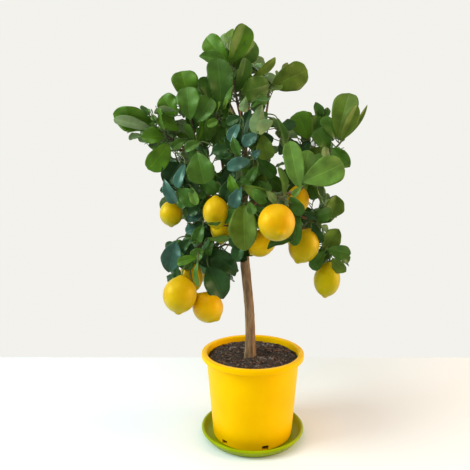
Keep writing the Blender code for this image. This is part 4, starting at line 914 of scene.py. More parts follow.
class Crown:
    """The masses as they grow: what each one holds, and what nothing else may touch."""

    def __init__(self, limbs):
        self.stems = {mass.name: stem_of(mass, limbs) for mass in MASSES}
        self.twigs = {mass.name: [] for mass in MASSES}
        self.leaves = {mass.name: [] for mass in MASSES}
        self.middles = {}
        self.held = []
        for path, radii in limbs.values():
            self.hold(None, limb_guard(path, radii, LIMB_SIDES))
        for mass in MASSES:
            path, radii = self.stems[mass.name]
            self.middles[mass.name] = limbs[mass.bough][0][-1].lerp(Vector(mass.end), MASS_MIDDLE)
            self.hold(mass.name, limb_guard(path, radii, TWIG_SIDES))
            for lemon in mass.fruit:
                self.hold(None, lemon_guard(lemon))
                self.hold(mass.name, limb_guard(*stalk_of(lemon, path), TWIG_SIDES))

    def hold(self, owner, shape):
        """Keeps a shape's place: nothing may touch it, apart from its owner's own twigs and leaves."""
        self.held.append((owner, searched(shape)))

    def lines(self, name):
        """The lines of a mass's stem and side twigs."""
        return [path for path, _ in [self.stems[name]] + self.twigs[name]]

    def fit(self, owner, shape):
        """A shape's search tree where it keeps to its mass's reach and touches nothing held, or None."""
        in_reach = all((vert.co - self.middles[owner]).length < REACH for vert in shape.verts)
        faces = searched(shape)
        if in_reach and not any(owner != holder and held.overlap(faces) for holder, held in self.held):
            return faces
        return None

    def try_leaf(self, owner, root, aim, roll, length):
        """Adds a leaf where it keeps to its mass's space, tried at a few turns, or skips it."""
        for turn, size in LEAF_TRIES:
            place = leaf_place(root, Matrix.Rotation(turn, 3, 'Z') @ aim, roll)
            faces = self.fit(owner, leaf_guard(length * size, place))
            if faces:
                self.held.append((None, faces))
                self.leaves[owner].append((place, length * size))
                return

    def try_twig(self, owner, path, radii):
        """Adds a side twig where it keeps to its mass's space, and says whether it did."""
        faces = self.fit(owner, limb_guard(path, radii, TWIG_SIDES))
        if faces:
            self.held.append((owner, faces))
            self.twigs[owner].append((path, radii))
        return faces is not None

    def add_spiral(self, mass, path, count, first, turn, rng):
        """Leaves in a spiral along a twig, wide near its foot and closer to its line near its end."""
        for index in range(count):
            share = first + (1.0 - first) * index / count
            root, direction = along(path, share)
            angle = math.radians(SPREAD_FOOT - SPREAD_CLOSING * share)
            aim = spread_from(direction, turn + index * SPIRAL, angle)
            aim.y *= 1.0 - FACING
            size = mass.length * (SMALLEST_LEAF + LEAF_RANGE * rng.random())
            self.try_leaf(mass.name, root, aim, math.radians(rng.uniform(-LEAF_ROLL, LEAF_ROLL)), size)

    def add_twigs(self, mass, rng):
        """The side twigs of a mass, each with a last leaf and a few more."""
        path, _ = self.stems[mass.name]
        turn = math.radians(mass.turn)
        for index in range(mass.twigs):
            root, direction = along(path, TWIG_FOOT + TWIG_STEP * index)
            reach = mass.length * (TWIG_LENGTH + TWIG_RANGE * rng.random())
            for attempt in TWIG_TURNS:
                out = spread_from(direction, turn + attempt * math.pi, TWIG_SPREAD)
                side = twig_path(root, out, reach, TWIG_RISE)
                if self.try_twig(mass.name, side, taper(TWIG_RADIUS, TWIG_TIP_RADIUS, TWIG_RINGS)):
                    self.try_leaf(mass.name, side[-1], side[-1] - side[1], 0.0, mass.length)
                    self.add_spiral(mass, side, TWIG_LEAVES, TWIG_FIRST_LEAF, turn + index, rng)
                    break


def grow_crown(limbs):
    """All the masses: each one's last leaf, then the leaves on its stem, then its side twigs."""
    crown = Crown(limbs)
    for mass in MASSES:
        crown.try_leaf(mass.name, Vector(mass.end), Vector(mass.aim).normalized(), 0.0, mass.last)
    for mass in MASSES:
        rng = random.Random(mass.name)
        path, _ = crown.stems[mass.name]
        crown.add_spiral(mass, path, mass.leaves, FIRST_LEAF, math.radians(mass.turn), rng)
    for mass in MASSES:
        crown.add_twigs(mass, random.Random(mass.name + '_twigs'))
    return crown


def front_spot(x, y, depth):
    """The place at a depth along +Y that the front view shows at a pixel."""
    ray = FORWARD + RIGHT * ((x - PICTURE / 2.0) / PICTURE) - UP * ((y - PICTURE / 2.0) / PICTURE)
    return CAMERA_SPOT + ray * ((depth - CAMERA_SPOT.y) / ray.y)


def front_pixel(spot):
    """The pixel at which the front view shows a place, and how far ahead of the camera it is."""
    step = spot - CAMERA_SPOT
    ahead = step.dot(FORWARD)
    scale = PICTURE / ahead
    return PICTURE / 2.0 + step.dot(RIGHT) * scale, PICTURE / 2.0 - step.dot(UP) * scale, ahead


def set_leaf(row):
    """A leaf set one by one: it lies between its two pixels and faces the viewer, turned as its row says."""
    base = front_spot(row.base_x, row.base_y, row.depth)
    tip = front_spot(row.tip_x, row.tip_y, row.depth + row.back)
    aim = (tip - base).normalized()
    face = CAMERA_SPOT - (base + tip) / 2.0
    face = (face - aim * face.dot(aim)).normalized()
    turn = math.radians(row.turn)
    place = turned_to(base, aim, Matrix.Rotation(turn, 3, aim) @ face)
    _, _, ahead = front_pixel(base)
    width = row.wide * ahead / PICTURE / max(EDGE_ON, abs(math.cos(turn)))
    arch = SET_ARCH[int(row.base_x + row.tip_y) % len(SET_ARCH)]
    fold = FOLD_MORE * row.fold
    pointed = row.fold > POINTED_FOLD
    return Leaf(row.mass, place, (tip - base).length, width, fold, arch, 0.0, 0.0, pointed, row.tint)


def inside(x, y, corners):
    """Which of many pixels lie inside an outline: those whose ray crosses it an odd number of times."""
    ax, ay = corners.T
    bx, by = np.roll(corners, -1, axis=0).T
    x, y = np.asarray(x)[..., None], np.asarray(y)[..., None]
    level = (ay > y) != (by > y)
    with np.errstate(divide='ignore', invalid='ignore'):
        left = x < ax + (bx - ax) * (y - ay) / (by - ay)
    return np.count_nonzero(level & left, axis=-1) % 2 == 1


def edge_distance(spots, corners):
    """How far each of many pixels is from an outline's nearest edge."""
    edges = np.roll(corners, -1, axis=0) - corners
    steps = spots[:, None, :] - corners
    share = (steps * edges).sum(axis=-1) / np.maximum(1e-9, (edges * edges).sum(axis=-1))
    steps = steps - edges * np.clip(share, 0.0, 1.0)[..., None]
    return np.hypot(steps[..., 0], steps[..., 1]).min(axis=-1)


def leaf_view(place, length, width):
    """A leaf's outline in the front view: the pixels of its corners, and how far ahead they are."""
    spots = [Vector((across * width / 2.0, share * length, 0.0)) for across, share in LEAF_CORNERS]
    return np.array([front_pixel(place @ spot) for spot in spots])


class Front:
    """What the front view shows: the crown's outline, the sky in it, the listed leaves and the fruit."""

    def __init__(self, leaves):
        cells = int(PICTURE / CELL)
        rows, columns = np.mgrid[0:cells, 0:cells]
        self.x, self.y = (columns + 0.5) * CELL, (rows + 0.5) * CELL
        self.outline = np.array(OUTLINE, float)
        self.gaps = np.array(SKY_GAPS, float)
        self.open = inside(self.x, self.y, self.outline)
        for x, y, radius in SKY_GAPS:
            self.open &= np.hypot(self.x - x, self.y - y) > radius + 1.0
        spots = []
        for leaf in leaves:
            for share in SPOT_SHARES:
                for across in SPOT_WIDTHS:
                    spots.append(leaf.place @ Vector((across * leaf.width, share * leaf.length, 0.0)))
            self.cover(leaf_view(leaf.place, leaf.length, leaf.width))
        for lemon in SHOWN_FRUIT:
            middle, _, width, _ = FRUIT[lemon]
            rim = []
            for cosine, sine in circle(12):
                side = RIGHT * cosine + UP * sine
                rim.append(front_pixel(Vector(middle) + side * 0.5 * width))
                spots += [Vector(middle) + side * out * width for out in SPOT_OUTS]
            self.cover(np.array(rim))
        self.spots = np.array([front_pixel(spot) for spot in spots])

    def cells_in(self, view):
        """The block of the front view's cells round an outline, and which of them it covers."""
        low, high = (view.min(axis=0) / CELL).astype(int), (view.max(axis=0) / CELL).astype(int)
        block = (slice(low[1], high[1] + 1), slice(low[0], high[0] + 1))
        return block, inside(self.x[block], self.y[block], view[:, :2])

    def cover(self, view):
        """Marks what an outline hides."""
        block, covered = self.cells_in(view)
        self.open[block] &= ~covered

    def gain(self, view):
        """How many open cells an outline would fill."""
        block, covered = self.cells_in(view)
        return int((self.open[block] & covered).sum())

    def allows(self, view):
        """Whether a grown leaf keeps to the outline, leaves the sky open and hides nothing set one by one."""
        corners = view[:, :2]
        if not inside(*corners.T, self.outline).all():
            return False
        x, y, radius = self.gaps.T
        if inside(x, y, corners).any() or (edge_distance(self.gaps[:, :2], corners) < radius).any():
            return False
        behind = self.spots[:, 2] > sum(view[:, 2]) / len(view) - SPOT_BEHIND
        return int((behind & inside(*self.spots.T[:2], corners)).sum()) <= HIDDEN_SPOTS

    def hides(self, path):
        """Whether a twig's line passes in front of what is set one by one."""
        for spot in path:
            x, y, ahead = front_pixel(spot)
            away = np.hypot(self.spots[:, 0] - x, self.spots[:, 1] - y)
            if ((self.spots[:, 2] > ahead) & (away < TWIG_VIEW)).any():
                return True
        return False


def grown_leaf(mass, place, length, index):
    """A leaf that the rule has grown, with its stalk from the twig's middle and its spray's tint."""
    pointed = int(length * 100000) % 4 == 0
    tints = SPRAYS[mass.name.replace('foliage_', '')]
    tint = tints[index % len(tints)]
    width = LEAF_WIDTH * length
    return Leaf(mass.name, place, length, width, LEAF_FOLD, 0.0, LEAF_DROOP, PETIOLE, pointed, tint)


def keep_grown(crown, hand_set, front):
    """The crown's leaves that keep clear of those set one by one; the twigs that would hide these go."""
    guards = [searched(leaf_guard(leaf.length, leaf.place)) for leaf in hand_set]
    kept = []
    for mass in MASSES:
        gone = [path for path, _ in crown.twigs[mass.name] if front.hides(spots_along(path, *VIEW_SPOTS))]
        crown.twigs[mass.name] = [twig for twig in crown.twigs[mass.name] if twig[0] not in gone]
        bare = [spot for path in gone for spot in spots_along(path, *BARE_SPOTS)]
        for index, (place, length) in enumerate(crown.leaves[mass.name]):
            faces = searched(leaf_guard(length, place))
            crossed = any(guard.overlap(faces) for guard in guards)
            crossed = crossed or any((place.translation - spot).length < BARE_CLEAR for spot in bare)
            view = leaf_view(place, length, LEAF_WIDTH * length)
            if not crossed and front.allows(view):
                kept.append(grown_leaf(mass, place, length, index))
                front.cover(view)
    return kept


def finer_spray(side, index, leaf_range, rng):
    """The leaves of a finer twig before they are tried, its last leaf first: place, length and front view."""
    spray = []
    for turn in range(FINER_LEAVES + 1):
        foot, line = along(side, 1.0 if turn == 0 else FINER_LEAF_FOOT + FINER_LEAF_RUN * turn / FINER_LEAVES)
        aim = line if turn == 0 else spread_from(line, turn * SPIRAL + index, FINER_SPREAD)
        length = rng.uniform(*leaf_range)
        place = leaf_place(foot, aim, math.radians(rng.uniform(-LEAF_ROLL, LEAF_ROLL)))
        spray.append((place, length, leaf_view(place, length, LEAF_WIDTH * length)))
    return spray


def grow_finer(limbs, crown, leaves, front):
    """Carries the rule on: finer twigs with small leaves on every stem and side twig, where there is room."""
    finer = Crown(limbs)
    for name, twigs in crown.twigs.items():
        for path, radii in twigs:
            finer.hold(name, limb_guard(path, radii, TWIG_SIDES))
    for leaf in leaves:
        finer.hold(None, leaf_guard(leaf.length, leaf.place))
    added, fine_twigs = [], []
    radii = taper(FINER_RADIUS, FINER_RADIUS * FINER_TIP_SHARE, TWIG_RINGS)
    for number, (tries, least, twig_range, leaf_range) in enumerate(ROUNDS):
        for mass in MASSES:
            rng = random.Random(mass.name + str(number))
            bough, _ = limbs[mass.bough]
            paths = crown.lines(mass.name) + [bough[len(bough) // 3:]]
            paths += [side for owner, side in fine_twigs if owner == mass.name]
            for index in range(tries * len(paths)):
                root, direction = along(paths[index % len(paths)], FINER_FIRST + FINER_RUN * rng.random())
                lean = math.radians(rng.uniform(*FINER_LEAN))
                out = spread_from(direction, index * SPIRAL + math.radians(mass.turn), lean)
                side = twig_path(root, out, rng.uniform(*twig_range), FINER_RISE)
                spray = finer_spray(side, index, leaf_range, rng)
                spray = [leaf for leaf in spray if front.gain(leaf[2]) >= least and front.allows(leaf[2])]
                if not spray or not inside(*front_pixel(side[-1])[:2], front.outline) or front.hides(side):
                    continue
                twig = finer.fit(mass.name, limb_guard(side, radii, TWIG_SIDES))
                if not twig:
                    continue
                before = len(added)
                for place, length, view in spray:
                    faces = finer.fit(mass.name, leaf_guard(length, place))
                    if faces and front.gain(view) >= least:
                        finer.held.append((None, faces))
                        added.append(grown_leaf(mass, place, length, index))
                        front.cover(view)
                if len(added) > before:
                    finer.held.append((mass.name, twig))
                    fine_twigs.append((mass.name, side))
    return added, fine_twigs


class Heap:
    """Points and faces gathered from many small shapes, to be made into one piece."""

    def __init__(self):
        self.points, self.faces, self.slots, self.count = [], [], [], 0

    def add(self, points, faces, slots=None):
        """Adds a shape; slots gives each of its faces a material, and without it they have the first."""
        self.points.append(np.asarray(points, float).reshape(-1, 3))
        self.faces += [tuple(corner + self.count for corner in face) for face in faces]
        self.slots += slots or [0] * len(faces)
        self.count += len(self.points[-1])

    def piece(self, name, *materials):
        """The heap as one smooth-shaded object."""
        mesh = bpy.data.meshes.new(name)
        mesh.from_pydata(np.concatenate(self.points).tolist(), [], self.faces)
        mesh.polygons.foreach_set('material_index', self.slots)
        mesh.shade_smooth()
        for finish in materials:
            mesh.materials.append(finish)
        made = bpy.data.objects.new(name, mesh)
        bpy.context.scene.collection.objects.link(made)
        return made


def grid_faces(rows, columns, offset=0, flip=False):
    """Quads over a grid of points, row by row."""
    faces = []
    for row in range(rows - 1):
        for column in range(columns - 1):
            first = offset + row * columns + column
            face = (first, first + 1, first + columns + 1, first + columns)
            faces.append(face[::-1] if flip else face)
    return faces


def ring_faces(rings, steps, flip=False):
    """Quads between rings of points that each have the same number of steps."""
    faces = []
    for first in range(0, (rings - 1) * steps, steps):
        for step in range(steps):
            after = (step + 1) % steps
            face = (first + step, first + after, first + steps + after, first + steps + step)
            faces.append((face[0], *face[:0:-1]) if flip else face)
    return faces


def leaf_faces():
    """A fine leaf's faces and their materials: upper face with its midrib, underside and rim."""
    columns = len(LEAF_COLUMNS)
    under = (LEAF_ROWS + 1) * columns
    top = grid_faces(LEAF_ROWS + 1, columns)
    midrib = columns // 2 - 1
    slots = [1 if index % (columns - 1) == midrib else 0 for index in range(len(top))] + [2] * len(top)
    faces = top + grid_faces(LEAF_ROWS + 1, columns, under, True)
    for row in range(LEAF_ROWS):
        for column in (0, columns - 1):
            first = row * columns + column
            rim = (first, first + columns, first + columns + under, first + under)
            faces.append(rim if column == 0 else rim[::-1])
            slots.append(0)
    return faces, slots


def leaf_points(leaf, rng):
    """A leaf's fine surface: both faces, with midrib, side veins, fold, arch and a waved margin."""
    share = np.linspace(0.0, 1.0, LEAF_ROWS + 1)[:, None]
    across = LEAF_COLUMNS[None, :]
    at_rib = np.abs(across) < 0.05
    rise, fall = rng.uniform(*LEAF_RISE), rng.uniform(*(LEAF_POINTED if leaf.pointed else LEAF_FALL))
    peak = rise / (rise + fall)
    outline = share ** rise * (1.0 - share) ** fall / (peak ** rise * (1.0 - peak) ** fall)
    half = 0.5 * leaf.width * np.maximum(outline, LEAF_THIN)
    beat = rng.uniform(*SCALLOP_TURNS) * share + rng.random() + SCALLOP_SHIFT * (across > 0.0)
    half = half * (1.0 + LEAF_SCALLOP * np.sin(2.0 * math.pi * beat))
    x = half * across * (1.0 + rng.uniform(-LEAF_ODD, LEAF_ODD) * np.sign(across))
    swept = share + LEAF_SWEEP * np.abs(across) * share * (1.0 - share)
    y = leaf.length * (leaf.petiole + (1.0 - leaf.petiole) * swept)
    way = y / leaf.length
    soft = LEAF_CREASE * leaf.width
    z = leaf.fold * (np.sqrt(x * x + soft * soft) - soft)
    z = z + leaf.length * (leaf.arch * 4.0 * way * (1.0 - way) - leaf.droop * way * way)
    beat = 2.0 * math.pi * (rng.uniform(*WAVE_TURNS) * share + rng.random())
    z = z + LEAF_WAVE * leaf.width * np.sin(beat) * across ** 2 * share * (1.0 - share) * 2.0
    z = z + rng.uniform(-LEAF_TWIST, LEAF_TWIST) * x * share
    ridge = np.where(np.arange(LEAF_ROWS + 1) % 2 == 0, -1.0, 1.0)[:, None]
    bell = np.where(at_rib, 0.0, np.abs(across) ** 0.5 * (1.0 - across ** 4))
    z = z + LEAF_QUILT * leaf.width * ridge * bell * np.minimum(1.0, 4.0 * share * (1.0 - share))
    z = np.where(at_rib, z - RIB_DEPTH * (1.0 - share), z)
    below = z - LEAF_BLADE * (1.0 - BLADE_THINS * across ** 2)
    below = below - np.where(at_rib, RIB_THICK * (1.0 - RIB_THINS * share), 0.0)
    sides = [np.stack(np.broadcast_arrays(x, y, height), axis=-1).reshape(-1, 3) for height in (z, below)]
    return np.concatenate(sides) @ np.array(leaf.place.to_3x3()).T + np.array(leaf.place.translation)


def tube(path, radii, sides):
    """A round tube's points and faces, with its ends closed, turned as little as its line allows."""
    path = [Vector(spot) for spot in path]
    points, side = [], None
    for index, spot in enumerate(path):
        line = (path[min(index + 1, len(path) - 1)] - path[max(index - 1, 0)]).normalized()
        if side is None:
            side = line.cross(Vector((0.3, 1.0, 0.2))).normalized()
        side = (side - line * side.dot(line)).normalized()
        other = line.cross(side)
        for cosine, sine in circle(sides):
            points.append(spot + (side * cosine + other * sine) * radii[index])
    caps = [tuple(range(sides))[::-1], tuple(range((len(path) - 1) * sides, len(path) * sides))]
    return [tuple(point) for point in points], ring_faces(len(path), sides) + caps


def smooth_path(path, count):
    """A path through the same points, rounded and with count equal steps."""
    points = [np.array(spot) for spot in path]
    points = [2.0 * points[0] - points[1]] + points + [2.0 * points[-1] - points[-2]]
    made = []
    for step in range(count + 1):
        spot = (len(path) - 1) * step / count
        index = min(int(spot), len(path) - 2)
        share = spot - index
        a, b, c, d = points[index:index + 4]
        made.append(Vector(0.5 * (2.0 * b + (c - a) * share + (2.0 * a - 5.0 * b + 4.0 * c - d) * share ** 2
                                  + (3.0 * b - a - 3.0 * c + d) * share ** 3)))
    return made


def even(values, count):
    """A list of values stretched to count steps."""
    return list(np.interp(np.linspace(0.0, len(values) - 1.0, count + 1), range(len(values)), values))


def fine_tube(path, radii, count, sides):
    """A tube along a rounded path in count steps."""
    return tube(smooth_path(path, count), even(radii, count), sides)


def rough(points, sides, relief, stretch):
    """Moves a limb's points in and out from its rings' middles, in ridges that run along it."""
    rings = np.array(points).reshape(-1, sides, 3)
    middles = rings.mean(axis=1)
    steps = np.linalg.norm(np.diff(middles, axis=0, prepend=middles[:1]), axis=1)
    for ring, middle, gone in zip(rings, middles, np.cumsum(steps)):
        for spot in ring:
            out = spot - middle
            size = np.linalg.norm(out)
            if size < 1e-9:
                continue
            at = Vector(out / size * RIDGES_ROUND) + Vector((0.0, 0.0, gone * stretch))
            wave = noise.noise(at * COARSE_RIDGE)
            wave += FINE_RIDGE_SHARE * noise.noise(at * FINE_RIDGE + FINE_RIDGE_SHIFT)
            spot += out / size * relief * wave
    return rings.reshape(-1, 3)


def attach(base, aim, rods, front):
    """The stalk of a leaf set one by one: from a near place on its mass's twigs, as far as that can be on the
    leaf's own line, where it hides nothing; failing that, the nearest."""

    def cost(spot):
        gap = base - spot
        return gap.length + OFF_LINE_COST * (gap.length - aim.dot(gap))

    paths = []
    for spot in sorted(rods, key=cost)[:STALK_TRIES]:
        middle = base - aim * STALK_LEAD * (base - spot).length
        paths.append(blend_path(spot, middle, base + aim * STALK_SEAT, STALK_STEPS))
    for path in paths:
        if not front.hides([along(path, share)[0] for share in STALK_SHARES]):
            return path
    return paths[0]


def add_node(tree, kind, values=()):
    """A new shader node with its inputs set."""
    node = tree.nodes.new('ShaderNode' + kind)
    for name, value in dict(values).items():
        node.inputs[name].default_value = value
    return node


def join(tree, *links):
    """Joins nodes: each link is a node and its output, and a node and its input."""
    for source, output, target, entry in links:
        tree.links.new(source.outputs[output], target.inputs[entry])


def add_noise(tree, scale, detail, stretch=(1.0, 1.0, 1.0)):
    """A noise texture in the object's own metres."""
    spot = add_node(tree, 'TexCoord')
    sized = add_node(tree, 'Mapping', {'Scale': stretch})
    texture = add_node(tree, 'TexNoise', {'Scale': scale, 'Detail': detail})
    join(tree, (spot, 'Object', sized, 'Vector'), (sized, 'Vector', texture, 'Vector'))
    return texture


def plain(name, colour, roughness):
    """A plain finish, with its node tree and its shader."""
    made = bpy.data.materials.new(name)
    made.use_nodes = True
    shader = made.node_tree.nodes['Principled BSDF']
    shader.inputs['Base Color'].default_value = (*colour, 1.0)
    shader.inputs['Roughness'].default_value = roughness
    return made, made.node_tree, shader


def surface(name, colour, roughness, grain, stops, relief=None, gloss=None):
    """A finish mottled between stops by a noise of grain, with relief and gloss as a Finish has them."""
    made, tree, shader = plain(name, colour, roughness)
    pattern = add_noise(tree, *grain)
    ramp = add_node(tree, 'ValToRGB')
    while len(ramp.color_ramp.elements) < len(stops):
        ramp.color_ramp.elements.new(0.5)
    for element, (share, tone) in zip(ramp.color_ramp.elements, stops):
        element.position = share
        element.color = (*tone, 1.0)
    join(tree, (pattern, 'Fac', ramp, 'Fac'), (ramp, 'Color', shader, 'Base Color'))
    if relief:
        own, strength, height = relief
        bump = add_node(tree, 'Bump', {'Strength': strength, 'Distance': height})
        raised = add_noise(tree, *own) if own else pattern
        join(tree, (raised, 'Fac', bump, 'Height'), (bump, 'Normal', shader, 'Normal'))
    if gloss:
        shader.inputs['Specular IOR Level'].default_value = gloss[0]
        shader.inputs['Specular Tint'].default_value = (*gloss[1], 1.0)
    return made


def listed_surface(name):
    """A finish from its row in FINISHES, whose colours are the screen's."""
    row = FINISHES[name]
    gloss = (row.gloss[0], linear(row.gloss[1])) if row.gloss else None
    stops = [(share, linear(colour)) for share, colour in row.stops]
    return surface(name, linear(row.colour), row.roughness, row.grain, stops, row.relief, gloss)


def leaf_surface(name, colour, roughness):
    """Leaf green with a soft mottle and a fine grain."""
    main = linear(colour)
    stops = ((0.34, scaled(main, 1.0 - LEAF_MOTTLE)), (0.5, main), (0.66, scaled(main, 1.0 + LEAF_MOTTLE)))
    gloss = (0.60, tuple(part ** 0.30 for part in main))
    return surface(name, main, roughness, (48.0, 4.0), stops, ((900.0, 2.0), 0.12, 0.0004), gloss)


def soil_surface(name):
    """A dull, crumbly finish for the soil or for chips of bark and grit."""
    main = linear(SOIL_COLOURS[name])
    stops = ((0.35, scaled(main, 0.55)), (0.5, main), (0.72, scaled(main, 1.5)))
    return surface(name, main, 0.92, (240.0, 5.0), stops, (None, 0.7, 0.0012))


def rind_surface(name, colour, other):
    """Lemon rind: pitted, glossy, a little translucent, and greener and darker below, partly its own green
    and partly painted shade.
    """
    stops = ((0.35, linear(other)), (0.65, linear(colour)))
    gloss = (0.55, linear(RIND_GLOSS))
    made = surface(name, linear(colour), 0.38, (28.0, 2.0), stops, ((700.0, 2.0), 0.35, 0.0008), gloss)
    tree = made.node_tree
    shader = tree.nodes['Principled BSDF']
    shader.inputs['Subsurface Weight'].default_value = 0.10
    shader.inputs['Subsurface Radius'].default_value = (0.006, 0.003, 0.001)
    # Faces that point down blend to the darker olive: partly the rind's own green, partly painted shade
    geometry = add_node(tree, 'NewGeometry')
    parts = add_node(tree, 'SeparateXYZ')
    fade = add_node(tree, 'MapRange', {'From Min': 0.1, 'From Max': -0.95, 'To Max': RIND_GREEN_SHADE_SHARE})
    blend = add_node(tree, 'MixRGB', {'Color2': (*linear(RIND_GREEN_SHADE), 1.0)})
    before = shader.inputs['Base Color'].links[0].from_socket
    tree.links.new(before, blend.inputs['Color1'])
    join(tree, (geometry, 'Normal', parts, 'Vector'), (parts, 'Z', fade, 'Value'),
         (fade, 'Result', blend, 'Fac'), (blend, 'Color', shader, 'Base Color'))
    return made


def dome(share, edge, reach, width):
    """A round end's radius along a lemon: width until edge, then down to nothing within reach."""
    return np.sqrt(np.maximum(0.0, 1.0 - (np.maximum(0.0, share - edge) / reach) ** 2)) * width


def lemon_surface(lemon):
    """A lemon's fine surface: a rounded body that runs out to a neck at its stalk and a nipple at its tip."""
    middle, aim, width, length = FRUIT[lemon]
    share = np.sin(np.linspace(-0.5, 0.5, LEMON_RINGS + 1) * math.pi) * 0.5
    body = np.sqrt(np.maximum(0.0, 1.0 - (share / LEMON_BODY) ** 2)) * 0.5
    tip = np.where(share > 0.0, dome(share, *LEMON_TIP), 0.0)
    neck = np.where(share < 0.0, dome(-share, *LEMON_NECK), 0.0)
    radius = (body ** 5 + tip ** 5 + neck ** 5) ** 0.2 * width
    turn = Vector(aim).normalized().to_track_quat('Z', 'Y').to_matrix()
    seed = Vector((lemon * 3.1, lemon * 1.7, 0.0))
    points = []
    for along_it, out in zip(share, radius):
        for cosine, sine in circle(LEMON_SIDES):
            ray = Vector((cosine, sine, along_it * 2.0))
            swell = 1.0 + 0.022 * noise.noise(ray * 1.4 + seed) + 0.008 * noise.noise(ray * 5.0 + seed)
            spot = Vector((cosine * out * swell, sine * out * swell, along_it * length))
            points.append(tuple(Vector(middle) + turn @ spot))
    return points, ring_faces(LEMON_RINGS + 1, LEMON_SIDES)


def calyx(lemon):
    """The small green star between a lemon and its stalk."""
    middle, aim, _, length = FRUIT[lemon]
    aim = Vector(aim).normalized()
    side = aim.cross(Vector((0.2, 1.0, 0.1))).normalized()
    other = aim.cross(side)
    end = Vector(middle) - aim * length * CALYX_SEAT
    points = [tuple(end - aim * CALYX_RISE), tuple(end + aim * CALYX_SINK)]
    faces = []
    for step, (cosine, sine) in enumerate(circle(CALYX_STEPS)):
        out = CALYX_RADII[step % 2]
        points.append(tuple(end + (side * cosine + other * sine) * out + aim * CALYX_SAG))
        after = (step + 1) % CALYX_STEPS
        faces += [(0, 2 + after, 2 + step), (1, 2 + step, 2 + after)]
    return points, faces


def lathe(profile, steps):
    """A turned surface's points and faces, from a profile that runs down its outer side and up inside."""
    points = []
    for radius, height in profile:
        points += [(radius * cosine, radius * sine, height) for cosine, sine in circle(steps)]
    return points, ring_faces(len(profile), steps, True)


def done(piece, slot, *nodes):
    """Puts a piece on the frame: on the root body, with the solids that it stands for hidden; slot is not
    used.
    """
    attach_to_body(piece, 'root')
    if nodes:
        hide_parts(*nodes)


def make_leaves(leaves):
    """The leaves, one piece for each tint, with midribs and undersides in their own colours."""
    under = leaf_surface('leaf_underside', UNDERSIDE, 0.62)
    faces, slots = leaf_faces()
    for tint, (colour, roughness) in TINTS.items():
        heap = Heap()
        nodes = set()
        for index, leaf in enumerate(leaves):
            if leaf.tint == tint:
                heap.add(leaf_points(leaf, random.Random(index * 7 + 3)), faces, slots)
                nodes.add(leaf.mass)
        rib = tuple(min(255.0, part * MIDRIB + 8.0) for part in colour)
        blade = leaf_surface('leaf_' + tint, colour, roughness)
        piece = heap.piece('leaves_' + tint, blade, leaf_surface('rib_' + tint, rib, 0.5), under)
        done(piece, 'foliage', *sorted(nodes))


def make_twigs(limbs, crown, leaves, fine_twigs, front):
    """The stems and side twigs, and the stalks of the leaves and the fruit."""
    wood, green = Heap(), Heap()
    rods = {}
    for mass in MASSES:
        path, radii = crown.stems[mass.name]
        lead = path[0] + (path[0] - path[1]).normalized() * STEM_SINK
        points, faces = fine_tube([lead] + path, [radii[0]] + radii, STEM_STEPS, STEM_ROUND)
        wood.add(rough(points, STEM_ROUND, STEM_RELIEF, STEM_GRAIN), faces)
        for side, side_radii in crown.twigs[mass.name]:
            wood.add(*fine_tube(side, side_radii, TUBE_STEPS, TUBE_SIDES))
        for lemon in mass.fruit:
            green.add(*fine_tube(*stalk_of(lemon, path), TUBE_STEPS, TUBE_SIDES))
            green.add(*calyx(lemon))
        own = crown.lines(mass.name) + [side for owner, side in fine_twigs if owner == mass.name]
        rods[mass.name] = [spot for line in own for spot in spots_along(line, TWIG_SPOTS)]
        rods[mass.name] += spots_along(limbs[mass.bough][0], *BOUGH_SPOTS)
    fine_radii = taper(FINER_RADIUS, FINER_RADIUS * FINER_TIP_SHARE, TWIG_RINGS)
    for _, side in fine_twigs:
        green.add(*fine_tube(side, fine_radii, FINER_STEPS, FINER_SIDES))
    for leaf in leaves:
        base = leaf.place.translation
        aim = leaf.place.to_3x3() @ Vector((0.0, 1.0, 0.0))
        if leaf.petiole > 0.0:
            end = base + aim * leaf.length * (leaf.petiole + PETIOLE_SEAT)
            green.add(*tube([base, base.lerp(end, 0.5), end], [PETIOLE_RADIUS] * 3, STALK_SIDES))
            continue
        path = attach(base, aim, rods[leaf.mass], front)
        reach = (base - path[0]).length
        thick = PETIOLE_RADIUS * (1.0 + min(STALK_SWELL, reach / LONG_STALK))
        heap = wood if reach > LONG_STALK else green
        heap.add(*tube(path, taper(thick, PETIOLE_RADIUS, STALK_STEPS), STALK_SIDES))
    done(wood.piece('twigs', listed_surface('twig_wood')), 'bark')
    done(green.piece('stalks', listed_surface('twig_green')), 'foliage')


def make_fruit():
    """The lemons, one piece for each rind colour."""
    for name, (colour, other, lemons) in RIPENESS_AND_SHADE.items():
        heap = Heap()
        for lemon in lemons:
            heap.add(*lemon_surface(lemon))
        done(heap.piece('lemons_' + name, rind_surface('rind_' + name, colour, other)), 'foliage')


